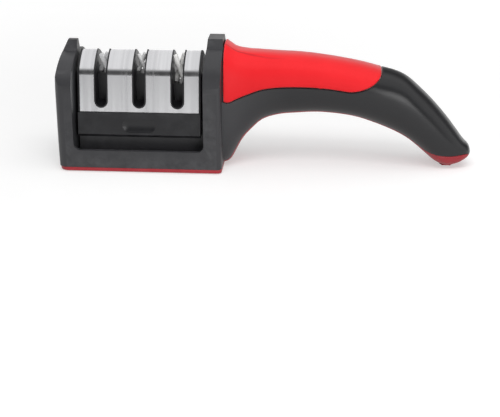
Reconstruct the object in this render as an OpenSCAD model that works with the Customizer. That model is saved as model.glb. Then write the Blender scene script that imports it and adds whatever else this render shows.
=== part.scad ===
// Hand-held three-stage knife sharpener with a lift-out cartridge.
// Z is up and z = 0 is the table. X = 0 is the middle of the cartridge and the handle points to +X.
// Y = 0 is the middle plane. Heights inside the cartridge are measured from its own underside.

/* [Cartridge] */
// Length of the cartridge body
cartridge_len = 62.9; // [58:0.1:68]
// Height of the cartridge's underside above the table
cartridge_z = 17.1; // [14:0.1:20]
// Half width at the underside
foot_half = 18.8; // [17.5:0.1:20]
// Half width at the top of the lower flange
flange_half = 17; // [16.5:0.1:17.4]
// Height of the lower flange
flange_h = 12.6; // [11:0.1:13.4]
// Step from the flange in to the steel cover's face
flange_step = 1.2; // [0.8:0.1:1.8]
// Half width at the shoulder
shoulder_half = 12.5; // [11.5:0.1:14]
// Height of the shoulder
shoulder_h = 33.4; // [31:0.1:35]
// Height of the ridge
ridge_h = 41.5; // [40:0.1:44]
// Height that the top's arch bulges over a straight slope
crown = 1.1; // [0.4:0.1:1.8]
// Chamfer on the lower outer edges
foot_chamfer = 1.5; // [0.6:0.1:2.5]
// Length of the end rim that stands beside the steel cover
end_rim = 0.85; // [0.5:0.05:2]
// Length of the thumb recess along X
thumb_len = 17; // [12:0.5:24]
// Height of the thumb recess
thumb_h = 7; // [5:0.5:8]
// Depth of the thumb recess
thumb_depth = 0.8; // [0.5:0.1:1.6]
// Height of the thumb recess's middle
thumb_z = 7; // [6:0.1:8]

/* [Cartridge underside] */
// Half width of the mouth of the hollow underneath
mouth_half = 13; // [12:0.1:14]
// Half width of the hollow where its slope steepens
waist_half = 10.6; // [9.5:0.1:11.5]
// Height where the slope steepens
waist_h = 6; // [5:0.1:7]
// Half width at the top of the hollow
neck_half = 4.5; // [4.2:0.1:5]
// Height of the top of the hollow
neck_h = 13; // [12:0.1:13.6]
// Half width of the notch in each end
notch_half = 3.8; // [3.4:0.1:4.1]
// Height of the notch in the front half
notch_front_h = 26.6; // [24:0.1:28]
// Height by which the rear half's notch is taller, which keys the cartridge one way round
notch_key = 1.3; // [0.8:0.1:2]
// Wall between an end notch and the nearest piece's groove
notch_wall = 0.5; // [0.4:0.1:1]

/* [Slots] */
// Distance from slot to slot
slot_pitch = 19.6; // [18:0.1:20.5]
// Width of a slot between its black lips
slot_w = 5.6; // [5.2:0.1:6.4]
// Width of the black lip round a slot
lip_w = 0.75; // [0.5:0.05:1]
// Height of the slot's floor
slot_floor = 15.35; // [14.8:0.05:17]
// Half width of the web that carries the sharpening pieces
web_half = 4.6; // [4.3:0.1:6]

/* [Steel cover] */
// Thickness of the steel sheet
steel_t = 0.5; // [0.4:0.05:0.8]
// Height by which rims and lips stand over the steel
rim_over = 0.15; // [0.05:0.05:0.4]
// Gap round the steel
steel_gap = 0.1; // [0.05:0.05:0.2]
// Width of the tabs bent in under the steel's lower edge
tab_w = 6; // [4:0.5:8]
// Depth of those tabs
tab_depth = 1.4; // [1:0.1:2]

/* [Sharpening pieces] */
// Tilt of the coarse and medium pieces from upright
coarse_tilt = 23; // [20:1:26]
// Tilt of the ceramic rods from upright
fine_tilt = 20; // [17:1:23]
// Width of the carbide bars
bar_w = 2.2; // [1.8:0.1:2.6]
// Thickness of the carbide bars
bar_t = 2; // [1.6:0.1:2.4]
// Diameter of the diamond rods
diamond_d = 2.2; // [1.8:0.1:2.6]
// Diameter of the ceramic rods
ceramic_d = 3; // [2.6:0.1:3.2]
// Height where the coarse and medium pieces cross
coarse_cross_h = 35.6; // [34:0.1:36.5]
// Height where the ceramic rods cross
fine_cross_h = 32.2; // [31:0.1:33]
// Height of the web in the coarse and medium slots
coarse_web_h = 30; // [28:0.1:31]
// Height of the web in the fine slot
fine_web_h = 25; // [23:0.1:26]
// Height of the upper ends of all pieces
piece_top_h = 39.4; // [38.5:0.1:39.6]
// Depth to which the pieces are let into their web
piece_root = 5; // [4:0.1:6]
// Gap round a piece in its groove
groove_gap = 0.1; // [0.05:0.01:0.15]
// Gap between a piece and the middle plane
middle_gap = 0.15; // [0.1:0.01:0.25]

/* [Base] */
// Width of the base along Y
base_w = 48; // [46:0.5:54]
// Gap between the cartridge and the left wall
left_gap = 1.6; // [1:0.1:3]
// Gap between the cartridge and the right wall
right_gap = 2.1; // [1:0.1:3]
// Thickness of the left wall
left_wall = 8.8; // [8:0.1:10]
// Thickness of the right wall
right_wall = 9; // [8:0.1:10]
// Height of the left wall
left_wall_top = 63.7; // [63:0.1:66]
// Height of the right wall
right_wall_top = 66; // [65.5:0.1:68]
// Height up to which the walls are upright in front
wall_upright_z = 42; // [38:0.5:46]
// Height of the left wall's raised top over the arch below it
left_crest_drop = 5.4; // [4:0.1:6]
// Height of the right wall's raised top over the arch below it
right_crest_drop = 4.4; // [3:0.1:5]
// Half width of the left wall's raised top at its foot
left_crest_half = 4; // [3:0.1:6]
// Half width of the right wall's raised top at its foot
right_crest_half = 8; // [6:0.1:9]
// How far the left wall bows out
left_bow = 0.8; // [0.4:0.1:1.6]
// How far the left wall leans in up to its crest
left_lean = 1.6; // [0.8:0.1:2.2]
// How far the left wall's raised top leans in above that
left_chamfer = 2.5; // [1:0.1:3]
// How far the right wall's inner edge leans out at its top
right_lean = 1.1; // [0:0.1:1.4]
// Height of the front and rear lips of the well
lip_z = 11.5; // [10.5:0.1:13]
// Thickness of those lips
lip_t = 2.2; // [1.8:0.1:3]
// Fillet radius where a lip meets a wall
window_r = 3.5; // [2:0.1:5]
// Height of the well's floor
floor_z = 8; // [7:0.1:9]
// Radius of the base's left corners
left_corner_r = 5; // [3:0.1:7]
// Radius of the base's right corners
right_corner_r = 2.5; // [1.5:0.1:4]
// Wall thickness of the hollow parts of the base
shell_t = 2.4; // [1.8:0.1:3]
// Gap between the cartridge and what it sits over
seat_gap = 0.3; // [0.2:0.05:0.5]

/* [Handle] */
// Length of the handle beyond the right wall
handle_len = 126.9; // [118:0.1:136]
// Height of the handle's back just behind the wall
handle_h = 58.8; // [56:0.1:60]
// Half width of the handle at its palm swell
handle_half_w = 15; // [13.5:0.1:16]
// Wall of the handle, with the grip's recess
handle_t = 3.8; // [3.4:0.1:4.5]

/* [Soft grip] */
// Thickness of the soft grip
grip_t = 1.6; // [1:0.1:2]
// Gap between the grip and the body around it
grip_gap = 0.35; // [0.2:0.05:0.6]
// Gap between the grip and the body below it
grip_bed = 0.05; // [0.02:0.01:0.1]

/* [Bottom cover] */
// Height of the bottom cover's underside above the table
cover_z = 0.4; // [0.3:0.05:0.8]
// Thickness of the bottom cover under the base
cover_t = 2; // [1.6:0.1:2.6]

/* [Pads and screws] */
// Length of the base pad
pad_len = 60; // [40:1:62]
// Width of the base pad
pad_w = 36; // [24:1:40]
// Depth to which a pad is let in
pad_inset = 0.8; // [0.5:0.1:1]
// Gap round a pad
pad_gap = 0.2; // [0.1:0.05:0.4]
// Distance from the handle's tip back to the tip pad's middle
tip_pad_in = 11.85; // [11:0.05:13]
// Diameter of the tip pad
tip_pad_d = 7; // [6:0.1:8]
// Shank diameter of the cover screws
cover_screw_d = 2.6; // [2.2:0.1:3]
// Length of a cover screw's shank
cover_screw_len = 9; // [6:0.5:12]
// Shank diameter of the cartridge screws
cartridge_screw_d = 2.2; // [2:0.1:2.6]
// Length of a cartridge screw's shank
cartridge_screw_len = 20; // [16:0.5:22]
// Height of the cartridge screws in the cartridge
cartridge_screw_h = 21; // [18.5:0.5:23]

/* [Hidden] */
$fn = 48;
eps = 0.01;
big = 200;
black = [0.13, 0.13, 0.14];
red = [0.86, 0.1, 0.12];
steel = [0.75, 0.75, 0.77];
FRONT = -1;
REAR = 1;

cartridge_half_len = cartridge_len / 2;
slots = [-slot_pitch, 0, slot_pitch];
coarse_slot = slots[0];
medium_slot = slots[1];
fine_slot = slots[2];
cut_w = slot_w + 2 * lip_w;
cut_floor = slot_floor - lip_w;
steel_foot_half = flange_half - flange_step;
steel_end = cartridge_half_len - end_rim - steel_gap;
tab_mid = steel_foot_half - steel_gap - tab_depth / 2;

well_left = -cartridge_half_len - left_gap;
well_right = cartridge_half_len + right_gap;
base_left = well_left - left_wall;
base_right = well_right + right_wall;
base_half = base_w / 2;
left_crest_z = left_wall_top - left_crest_drop;
right_crest_z = right_wall_top - right_crest_drop;
wall_top_taper = 2.5;
shell_z = cover_z + cover_t;
tongue_half = notch_half - seat_gap;
tip_pad_x = base_right + handle_len - tip_pad_in;
tongue_front_z = cartridge_z + notch_front_h;
tongue_rear_z = tongue_front_z + notch_key;

screw_head_h = 1.2;
cover_head_h = 1;
screw_head_over = 1;
screw_fit = 0.05;
screw_sink = 0.1;
cover_screw_x = [base_left + left_wall / 2 + 0.4, base_right - right_wall / 2];
cover_screw_edge = 7;
cover_screw_y = base_half - cover_screw_edge;
cover_screws_at = [
    for (x = cover_screw_x) for (y = [-cover_screw_y, cover_screw_y]) [x, y, cover_z + screw_sink],
    [tip_pad_x, 0, cover_z + pad_inset]
];
cartridge_screw_x = slot_pitch / 2;
cartridge_screw_y = -11.4;

// Profiles across the cartridge, as points in Y and Z

// Points of an arch from the shoulder over the ridge to the other shoulder
function arch(half, low, high, n = 5) = [
    for (i = [-n:n])
        let (t = i / n)
        [half * t, high - (high - low) * abs(t) + 4 * crown * abs(t) * (1 - abs(t))]
];

// Outer face of the steel, moved in by d
function steel_line(d) = concat(
    [[-steel_foot_half + d, flange_h]],
    arch(shoulder_half - d, shoulder_h - d / 2, ridge_h - d),
    [[steel_foot_half - d, flange_h]]
);

function flange_line() = [
    [foot_half - foot_chamfer, 0],
    [foot_half - 0.14 * foot_chamfer, foot_chamfer],
    [flange_half, flange_h],
    [-flange_half, flange_h],
    [-foot_half + 0.14 * foot_chamfer, foot_chamfer],
    [-foot_half + foot_chamfer, 0]
];

// Hollow under the cartridge, made smaller by d
function hollow_line(d = 0) = [
    [-mouth_half + d, d == 0 ? -1 : floor_z - cartridge_z - eps],
    [-mouth_half + d, 0],
    [-waist_half + d, waist_h],
    [-neck_half + d, neck_h - d],
    [neck_half - d, neck_h - d],
    [waist_half - d, waist_h],
    [mouth_half - d, 0],
    [mouth_half - d, d == 0 ? -1 : floor_z - cartridge_z - eps]
];

// Extrudes a Y-Z outline along X from x0 to x1
module along_x(x0, x1) {
    translate([x0, 0, 0])
        rotate([90, 0, 90])
            linear_extrude(height = x1 - x0)
                children();
}

// Extrudes an X-Z outline along Y from y0 to y1
module along_y(y0, y1) {
    translate([0, y1, 0])
        rotate([90, 0, 0])
            linear_extrude(height = y1 - y0)
                children();
}

module at_cartridge() {
    translate([0, 0, cartridge_z])
        children();
}

// X-Z outline of a slot with a round bottom
module slot_outline(x, w, low) {
    translate([x - w / 2, low + w / 2])
        square([w, ridge_h + 5 - low]);
    translate([x, low + w / 2])
        circle(d = w);
}

// Sharpening pieces

// Puts a piece at its slot, tilted and beside the middle plane, crossing at height h
module seat_piece(x, h, tilt, side, thick) {
    translate([x, side * (middle_gap + thick / 2), h])
        rotate([0, side * tilt, 0])
            children();
}

// Length of a tilted piece above and below its crossing
function piece_up(h, tilt) = (piece_top_h - h) / cos(tilt);
function piece_down(h, tilt, web_h) = (h - web_h + piece_root) / cos(tilt);

// How far a piece's lower end reaches sideways from its slot's middle, and the notch that stays clear
function foot_reach(h, tilt, web_h, w) = piece_down(h, tilt, web_h) * sin(tilt) + w / 2 * cos(tilt);
notch_in = slot_pitch + groove_gap + notch_wall + max(
    foot_reach(coarse_cross_h, coarse_tilt, coarse_web_h, bar_w),
    foot_reach(fine_cross_h, fine_tilt, fine_web_h, ceramic_d)
);
notch_len = cartridge_half_len - notch_in;
tongue_reach = notch_len - seat_gap;

module bar(h, tilt, web_h, grow = 0) {
    low = piece_down(h, tilt, web_h) + grow;
    high = piece_up(h, tilt) + grow;
    w = bar_w + 2 * grow;
    t = bar_t + 2 * grow;
    translate([-w / 2, -t / 2, -low])
        cube([w, t, low + high]);
}

module rod(d, h, tilt, web_h, grow = 0) {
    low = piece_down(h, tilt, web_h) + grow;
    high = piece_up(h, tilt) + grow;
    translate([0, 0, -low])
        cylinder(d = d + 2 * grow, h = low + high);
}

// Groove for a bar: the bar's own shape with a gap, opened to the middle plane
module bar_groove(side) {
    h = coarse_cross_h;
    low = piece_down(h, coarse_tilt, coarse_web_h) + groove_gap;
    high = piece_up(h, coarse_tilt) + groove_gap;
    w = bar_w + 2 * groove_gap;
    t = middle_gap + bar_t + groove_gap + 1;
    seat_piece(coarse_slot, h, coarse_tilt, side, bar_t)
        translate([-w / 2, side > 0 ? bar_t / 2 + groove_gap - t : -bar_t / 2 - groove_gap, -low])
            cube([w, t, low + high]);
}

// Groove for a rod, opened to the middle plane
module rod_groove(x, d, h, tilt, web_h, side) {
    low = piece_down(h, tilt, web_h) + groove_gap;
    high = piece_up(h, tilt) + groove_gap;
    w = d + 2 * groove_gap;
    t = middle_gap + d / 2 + 1;
    seat_piece(x, h, tilt, side, d) {
        rod(d, h, tilt, web_h, groove_gap);
        translate([-w / 2, side > 0 ? -t : 0, -low])
            cube([w, t, low + high]);
    }
}

module grooves(side) {
    bar_groove(side);
    rod_groove(medium_slot, diamond_d, coarse_cross_h, coarse_tilt, coarse_web_h, side);
    rod_groove(fine_slot, ceramic_d, fine_cross_h, fine_tilt, fine_web_h, side);
}

module carbide_bar(side) {
    color([0.45, 0.45, 0.48])
        at_cartridge()
            seat_piece(coarse_slot, coarse_cross_h, coarse_tilt, side, bar_t)
                bar(coarse_cross_h, coarse_tilt, coarse_web_h);
}

module diamond_rod(side) {
    color([0.55, 0.55, 0.57])
        at_cartridge()
            seat_piece(medium_slot, coarse_cross_h, coarse_tilt, side, diamond_d)
                rod(diamond_d, coarse_cross_h, coarse_tilt, coarse_web_h);
}

module ceramic_rod(side) {
    color([0.95, 0.94, 0.9])
        at_cartridge()
            seat_piece(fine_slot, fine_cross_h, fine_tilt, side, ceramic_d)
                rod(ceramic_d, fine_cross_h, fine_tilt, fine_web_h);
}

// Cartridge screws, along Y between the slots, with their heads in the front half

module cartridge_screw_shape(grow = 0, head_room = 0) {
    rotate([-90, 0, 0]) {
        translate([0, 0, -screw_head_h - head_room])
            cylinder(d = cartridge_screw_d + 2 * screw_head_over + 2 * grow, h = screw_head_h + head_room);
        translate([0, 0, -eps])
            cylinder(d = cartridge_screw_d + 2 * grow, h = cartridge_screw_len + grow + eps);
    }
}

module at_cartridge_screws() {
    for (x = [-cartridge_screw_x, cartridge_screw_x])
        translate([x, cartridge_screw_y, cartridge_screw_h])
            children();
}

module cartridge_screws() {
    color(steel)
        at_cartridge()
            at_cartridge_screws()
                cartridge_screw_shape();
}

// Cartridge halves

// Rounded hollow for the thumb in the flank on one side
module thumb_recess(side) {
    r = (thumb_h * thumb_h / 4 + thumb_depth * thumb_depth) / (2 * thumb_depth);
    straight = thumb_len - thumb_h;
    y = foot_half + (flange_half - foot_half) * thumb_z / flange_h + r - thumb_depth;
    translate([0, side * y, thumb_z]) {
        rotate([0, 90, 0])
            cylinder(r = r, h = straight, center = true);
        for (x = [-straight / 2, straight / 2])
            translate([x, 0, 0])
                sphere(r = r);
    }
}

// Pockets for the steel cover's tabs
module tab_pockets() {
    for (x = [-cartridge_screw_x, cartridge_screw_x])
        for (side = [FRONT, REAR])
            translate([x - tab_w / 2 - steel_gap, side * steel_foot_half, flange_h])
                translate([0, side > 0 ? -steel_t - tab_depth - steel_gap : 0, 0])
                    cube([tab_w + 2 * steel_gap, steel_t + tab_depth + steel_gap, steel_t + steel_gap]);
}

module cartridge_body() {
    difference() {
        union() {
            along_x(-cartridge_half_len, cartridge_half_len) {
                polygon(flange_line());
                polygon(steel_line(steel_t + steel_gap));
            }
            for (x = [-cartridge_half_len, cartridge_half_len - end_rim])
                along_x(x, x + end_rim)
                    polygon(steel_line(-rim_over));
            intersection() {
                along_x(-steel_end, steel_end)
                    polygon(steel_line(-rim_over));
                along_y(-foot_half, foot_half)
                    for (x = slots)
                        slot_outline(x, cut_w - 2 * steel_gap, cut_floor + steel_gap);
            }
        }
        for (side = [FRONT, REAR])
            translate([0, side * (web_half + foot_half / 2), 0])
                along_y(-foot_half / 2, foot_half / 2)
                    for (x = slots)
                        slot_outline(x, slot_w, slot_floor);
        for (x = slots)
            translate([x - slot_w / 2, -web_half - eps, x == fine_slot ? fine_web_h : coarse_web_h])
                cube([slot_w, 2 * (web_half + eps), ridge_h]);
        along_x(-big, big)
            polygon(hollow_line());
        for (side = [FRONT, REAR])
            thumb_recess(side);
        tab_pockets();
    }
}

// Notch in each end of one half
module end_notches(h) {
    for (x = [-cartridge_half_len - 1, cartridge_half_len - notch_len])
        translate([x, -notch_half, neck_h - 1])
            cube([notch_len + 1, 2 * notch_half, h - neck_h + 1]);
}

// Everything on one side of the middle plane
module side_space(side) {
    translate([-big / 2, side > 0 ? 0 : -big, -big / 2])
        cube([big, big, big]);
}

module cartridge_front_half() {
    color(black)
        at_cartridge()
            difference() {
                intersection() {
                    cartridge_body();
                    side_space(FRONT);
                }
                end_notches(notch_front_h);
                grooves(FRONT);
                at_cartridge_screws()
                    cartridge_screw_shape(screw_fit, foot_half);
            }
}

module cartridge_rear_half() {
    color(black)
        at_cartridge()
            difference() {
                intersection() {
                    cartridge_body();
                    side_space(REAR);
                }
                end_notches(notch_front_h + notch_key);
                grooves(REAR);
                at_cartridge_screws()
                    cartridge_screw_shape(screw_fit);
            }
}

module steel_cover() {
    color(steel)
        at_cartridge() {
            difference() {
                along_x(-steel_end, steel_end)
                    difference() {
                        polygon(steel_line(0));
                        polygon(steel_line(steel_t));
                        translate([-foot_half, flange_h - 1])
                            square([2 * foot_half, 1 + steel_gap]);
                    }
                along_y(-foot_half, foot_half)
                    for (x = slots)
                        slot_outline(x, cut_w, cut_floor);
            }
            for (x = [-cartridge_screw_x, cartridge_screw_x])
                for (side = [FRONT, REAR])
                    translate([x, side * tab_mid, flange_h + steel_t / 2])
                        cube([tab_w, tab_depth, steel_t - steel_gap], center = true);
        }
}

// Handle: sections from the wall to the tip. Each row is a station with the top point's x and z,
// the underside point's x and z, the half width, the squareness of the section and the share of the
// section's height that belongs to the bottom cover. x counts from the right wall's outer face.
// The rows after the first are drawn for the sizes below and follow handle_len, handle_h and handle_half_w.
drawn_len = 126.9;
drawn_h = 58.8;
drawn_half_w = 15;
stations = [
    [-0.8, right_wall_top - 2, -0.8, cover_z, 18.5, 3, cover_t / (right_wall_top - 2 - cover_z)],
    [2.2, 62.3, 3.5, cover_z + 2, 17.3, 2.9, 0.035],
    [6.3, 59.8, 9.1, 12.6, 16, 2.75, 0.045],
    [12.2, 58.9, 14.2, 18.7, 15.2, 2.6, 0.05],
    [19.5, 58.8, 20.1, 23.8, 14.6, 2.5, 0.055],
    [28.5, 58.6, 28.1, 26.5, 14.2, 2.5, 0.06],
    [39.4, 58.2, 38, 27.6, 14, 2.5, 0.065],
    [50.4, 57, 48.4, 28.2, 14, 2.5, 0.065],
    [61.4, 55.3, 59.4, 27.5, 14.2, 2.5, 0.065],
    [71.4, 53.3, 68.4, 26, 14.6, 2.5, 0.065],
    [80.4, 50.9, 76.4, 23.5, 15, 2.5, 0.065],
    [87.3, 49.1, 83.4, 20.8, 15, 2.5, 0.065],
    [93.2, 46.3, 89.6, 17.9, 14.8, 2.5, 0.065],
    [99.4, 41.2, 94.6, 14.9, 14.3, 2.5, 0.065],
    [106.7, 34.2, 99, 11.3, 13.6, 2.4, 0.07],
    [113.7, 26.3, 103.2, 7.6, 12.8, 2.4, 0.11],
    [119.3, 19.1, 107.3, 4.1, 11.7, 2.5, 0.26],
    [123.2, 13.9, 111.2, cover_z + 1.4, 10.2, 2.6, 0.48],
    [126, 11, 115, cover_z + 0.6, 8.8, 2.6, 0.72],
    [126.9, 8.7, 118.7, cover_z + 1.3, 7.4, 2.5, 0.87],
    [126.9, 7.4, 121.6, 2.9, 5.6, 2.3, 0.91],
    [126.4, 5.8, 124, 3.9, 3, 2.1, 0.93]
];
last = len(stations) - 1;
TOP_X = 0;
TOP_Z = 1;
LOW_X = 2;
LOW_Z = 3;
HALF_W = 4;
SQUARE = 5;
COVER = 6;

// Smooth curve through the stations' values in one column, at u from 0 to the last station
function unit(c) =
    c == TOP_X || c == LOW_X ? handle_len / drawn_len
        : c == TOP_Z || c == LOW_Z ? handle_h / drawn_h
        : c == HALF_W ? handle_half_w / drawn_half_w : 1;
function station(i, c) = i <= 0 ? stations[0][c] : stations[min(i, last)][c] * unit(c);
function smooth(u, c) =
    let (i = min(floor(u), last - 1))
    let (t = u - i)
    let (a = station(i - 1, c), b = station(i, c), d = station(i + 1, c), e = station(i + 2, c))
    b + 0.5 * t * (d - a + t * (2 * a - 5 * b + 4 * d - e + t * (3 * (b - d) + e - a)));

// Rounded value of a superellipse's sine or cosine
function curved(v, n) = sign(v) * pow(abs(v), 2 / n);

// Point of the section at u: angle a from the top, moved in from the surface by d
function skin(u, a, d = 0) =
    let (top = [smooth(u, TOP_X), smooth(u, TOP_Z)])
    let (low = [smooth(u, LOW_X), smooth(u, LOW_Z)])
    let (half = norm(top - low) / 2)
    let (n = smooth(u, SQUARE))
    let (w = smooth(u, HALF_W))
    let (p = (top + low) / 2 + (top - low) / 2 * curved(cos(a), n) * (half - d) / half)
    [base_right + p[0], (w - d) * curved(sin(a), n), p[1]];

// Angle of the parting edge between body and bottom cover
function parting(u) =
    let (h = 2 * smooth(u, COVER) - 1)
    acos(sign(h) * pow(abs(h), smooth(u, SQUARE) / 2));

// Angle of the soft grip's lower edge: level along the flank, and closing over the top at its end
grip_end = 10;
grip_flat_end = 8.2;
grip_root_a = 86;
grip_edge_a = 89;
grip_end_a = 20;
function grip_edge(u) =
    let (t = (u - grip_flat_end) / (grip_end - grip_flat_end))
    u <= 2 ? grip_root_a + (grip_edge_a - grip_root_a) * u / 2
        : u <= grip_flat_end ? grip_edge_a
        : u <= grip_end ? grip_end_a + (grip_edge_a - grip_end_a) * sqrt(max(0, 1 - t * t))
        : min(grip_end_a + 25 * (u - grip_end), 0.6 * parting(u));

// Body: outer line from the right parting edge over the top to the left one
grip_steps = 6;
flank_steps = 4;
step_a = 0.7;
function right_angles(u) = concat(
    [for (k = [0:flank_steps]) parting(u) + (grip_edge(u) - parting(u)) * k / flank_steps],
    [for (k = [0:grip_steps - 1]) (grip_edge(u) - step_a) * (1 - k / grip_steps)]
);
function body_angles(u) =
    let (r = right_angles(u))
    concat(r, [0], [for (k = [len(r) - 1:-1:0]) -r[k]]);
body_n = 2 * (flank_steps + grip_steps + 1) + 1;
function outer_ring(u, recess) =
    let (a = body_angles(u))
    [for (j = [0:body_n - 1])
        skin(u, a[j], abs(a[j]) < grip_edge(u) - step_a / 2 ? recess : 0)];
function inner_ring(u) =
    let (a = body_angles(u))
    [for (j = [0:body_n - 1]) skin(u, a[j], handle_t)];
// Point of the parting plane below an inner point
function foot_point(u, side) =
    let (e = skin(u, parting(u)))
    let (i = skin(u, parting(u), handle_t))
    [e[0], side * i[1], e[2]];

hollow_us = concat(
    [for (k = [0:16]) k / 2],
    [for (t = [0.17, 0.36, 0.55, 0.72, 0.86, 0.95, 1]) grip_flat_end + (grip_end - grip_flat_end) * t],
    [grip_end + 0.02, 10.5],
    [for (k = [22:29]) k / 2]
);
solid_us = [for (k = [30:40]) k / 2];
hollow_n = len(hollow_us);
solid_n = len(solid_us);

// Faces between the points from a on and those from b on, m points in each row
function band(a, b, m) = [
    for (j = [0:m - 2]) each [[a + j, b + j, b + j + 1], [a + j, b + j + 1, a + j + 1]]
];

// Handle part of the body as one closed skin: hollow up to the last hollow ring, solid after it
module handle_body() {
    m = body_n;
    outer = [
        for (u = hollow_us) each outer_ring(u, u <= grip_end ? grip_t + grip_bed : 0),
        for (u = solid_us) each outer_ring(u, 0)
    ];
    inner = [for (u = hollow_us) each inner_ring(u)];
    feet = [for (u = hollow_us) each [foot_point(u, 1), foot_point(u, -1)]];
    i0 = len(outer);
    f0 = i0 + len(inner);
    rings = hollow_n + solid_n;
    k = hollow_n - 1;
    outer_faces = [for (r = [0:rings - 2]) each band(r * m, (r + 1) * m, m)];
    inner_faces = [for (r = [0:k - 1]) each band(i0 + (r + 1) * m, i0 + r * m, m)];
    rim_faces = [
        for (r = [0:k - 1])
            let (ra = r * m, rb = (r + 1) * m)
            let (ia = i0 + r * m, ib = i0 + (r + 1) * m)
            let (fa = f0 + 2 * r, fb = f0 + 2 * (r + 1))
            each [
                [ra, fa, fb], [ra, fb, rb],
                [fa, ia, ib], [fa, ib, fb],
                [ra + m - 1, rb + m - 1, fb + 1], [ra + m - 1, fb + 1, fa + 1],
                [fa + 1, fb + 1, ib + m - 1], [fa + 1, ib + m - 1, ia + m - 1]
            ]
    ];
    start_faces = concat(
        [for (j = [0:m - 2]) each [[j, j + 1, i0 + j + 1], [j, i0 + j + 1, i0 + j]]],
        [[0, i0, f0], [m - 1, f0 + 1, i0 + m - 1]]
    );
    // End of the hollow, seen from inside it
    hollow_end = [
        for (j = [0:m - 2]) [i0 + k * m + j + 1, i0 + k * m + j, f0 + 2 * k],
        [f0 + 2 * k, f0 + 2 * k + 1, i0 + k * m + m - 1]
    ];
    ka = k * m;
    kb = (k + 1) * m;
    first_floor = [
        [kb, ka, f0 + 2 * k], [kb, f0 + 2 * k, f0 + 2 * k + 1],
        [kb, f0 + 2 * k + 1, ka + m - 1], [kb, ka + m - 1, kb + m - 1]
    ];
    floor_faces = [
        for (r = [k + 1:rings - 2])
            each [
                [(r + 1) * m, r * m, r * m + m - 1],
                [(r + 1) * m, r * m + m - 1, (r + 1) * m + m - 1]
            ]
    ];
    e0 = (rings - 1) * m;
    end_faces = [for (j = [1:m - 2]) [e0, e0 + j + 1, e0 + j]];
    polyhedron(
        points = concat(outer, inner, feet),
        faces = concat(
            outer_faces, inner_faces, rim_faces, start_faces,
            hollow_end, first_floor, floor_faces, end_faces
        )
    );
}

// Point between two points of a ring or of two rings
function between(p, q, t) = p + (q - p) * t;
function ring_between(p, q, t) = [for (i = [0:len(p) - 1]) between(p[i], q[i], t)];

// Faces of a loft of rings that each close on themselves
function tube_faces(rings, m) = [
    for (r = [0:rings - 2]) for (j = [0:m - 1])
        let (a = r * m, b = (r + 1) * m, k = (j + 1) % m)
        each [[a + j, b + j, b + k], [a + j, b + k, a + k]]
];

// Soft grip: outer skin flush with the handle, inner skin in the recess
grip_m = 2 * grip_steps + 1;
grip_stop_share = 0.6;
function grip_side(u, d) =
    let (a = grip_edge(u) - step_a)
    let (step = smooth(u, HALF_W) * a * PI / 180 / grip_steps)
    let (edge_share = 1 - grip_gap / step)
    let (row = [for (k = [-grip_steps:grip_steps]) skin(u, -a * k / grip_steps, d)])
    concat(
        [between(row[1], row[0], edge_share)],
        [for (k = [1:grip_m - 2]) row[k]],
        [between(row[grip_m - 2], row[grip_m - 1], edge_share)]
    );
function grip_ring(u) =
    let (inner = grip_side(u, grip_t))
    concat(grip_side(u, 0), [for (k = [grip_m - 1:-1:0]) inner[k]]);
grip_us = [for (u = hollow_us) if (u > 0 && u < grip_end) u];

module soft_grip() {
    stop = grip_us[len(grip_us) - 1];
    rings = concat(
        [for (u = grip_us) grip_ring(u)],
        [ring_between(grip_ring(stop), grip_ring(grip_end), grip_stop_share)]
    );
    m = 2 * grip_m;
    n = len(rings);
    e = (n - 1) * m;
    start_faces = [
        for (j = [0:grip_m - 2])
            each [[j, j + 1, m - 2 - j], [j, m - 2 - j, m - 1 - j]]
    ];
    end_faces = [
        for (j = [0:grip_m - 2])
            each [[e + j + 1, e + j, e + m - 1 - j], [e + j + 1, e + m - 1 - j, e + m - 2 - j]]
    ];
    color(red)
        polyhedron(
            points = [for (r = rings) each r],
            faces = concat(tube_faces(n, m), start_faces, end_faces)
        );
}

// Strip of the bottom cover along the handle's underside, flat on its inner side
cover_steps = 4;
cover_us = concat(hollow_us, solid_us, [20.4, 20.7, last]);
function cover_ring(u) =
    let (p = parting(u))
    [for (k = [-cover_steps:cover_steps]) skin(u, 180 - (180 - p) * k / cover_steps)];

module cover_strip() {
    m = 2 * cover_steps + 1;
    n = len(cover_us);
    e = (n - 1) * m;
    points = [for (u = cover_us) each cover_ring(u)];
    start_faces = [for (j = [1:m - 2]) [0, j, j + 1]];
    end_faces = [for (j = [1:m - 2]) [e, e + j + 1, e + j]];
    polyhedron(points = points, faces = concat(tube_faces(n, m), start_faces, end_faces));
}

// Base

function arc(x, z, r, from, to, n = 5) = [
    for (k = [0:n]) let (a = from + (to - from) * k / n) [x + r * cos(a), z + r * sin(a)]
];
function bezier(p, q, r, n = 6) = [
    for (k = [0:n]) let (t = k / n) (1 - t) * (1 - t) * p + 2 * t * (1 - t) * q + t * t * r
];

// Side outline in X and Z: both walls and the window between them
function side_line() = concat(
    [
        [base_left + left_bow, shell_z],
        [base_left + 0.3 * left_bow, 0.36 * wall_upright_z],
        [base_left, 0.66 * wall_upright_z],
        [base_left + 0.1 * left_lean, 0.93 * wall_upright_z],
        [base_left + 0.4 * left_lean, (wall_upright_z + left_crest_z) / 2 - 2],
        [base_left + 0.8 * left_lean, left_crest_z - 4],
        [base_left + left_lean, left_crest_z],
        [base_left + left_lean + left_chamfer, left_wall_top],
        [well_left, left_wall_top]
    ],
    arc(well_left + window_r, lip_z + window_r, window_r, 180, 270),
    arc(well_right - window_r, lip_z + window_r, window_r, 270, 360),
    [
        [well_right, right_crest_z - 8],
        [well_right + right_lean, right_wall_top],
        [base_right - 0.3, right_wall_top],
        [base_right, right_crest_z],
        [base_right, shell_z]
    ]
);

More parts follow.
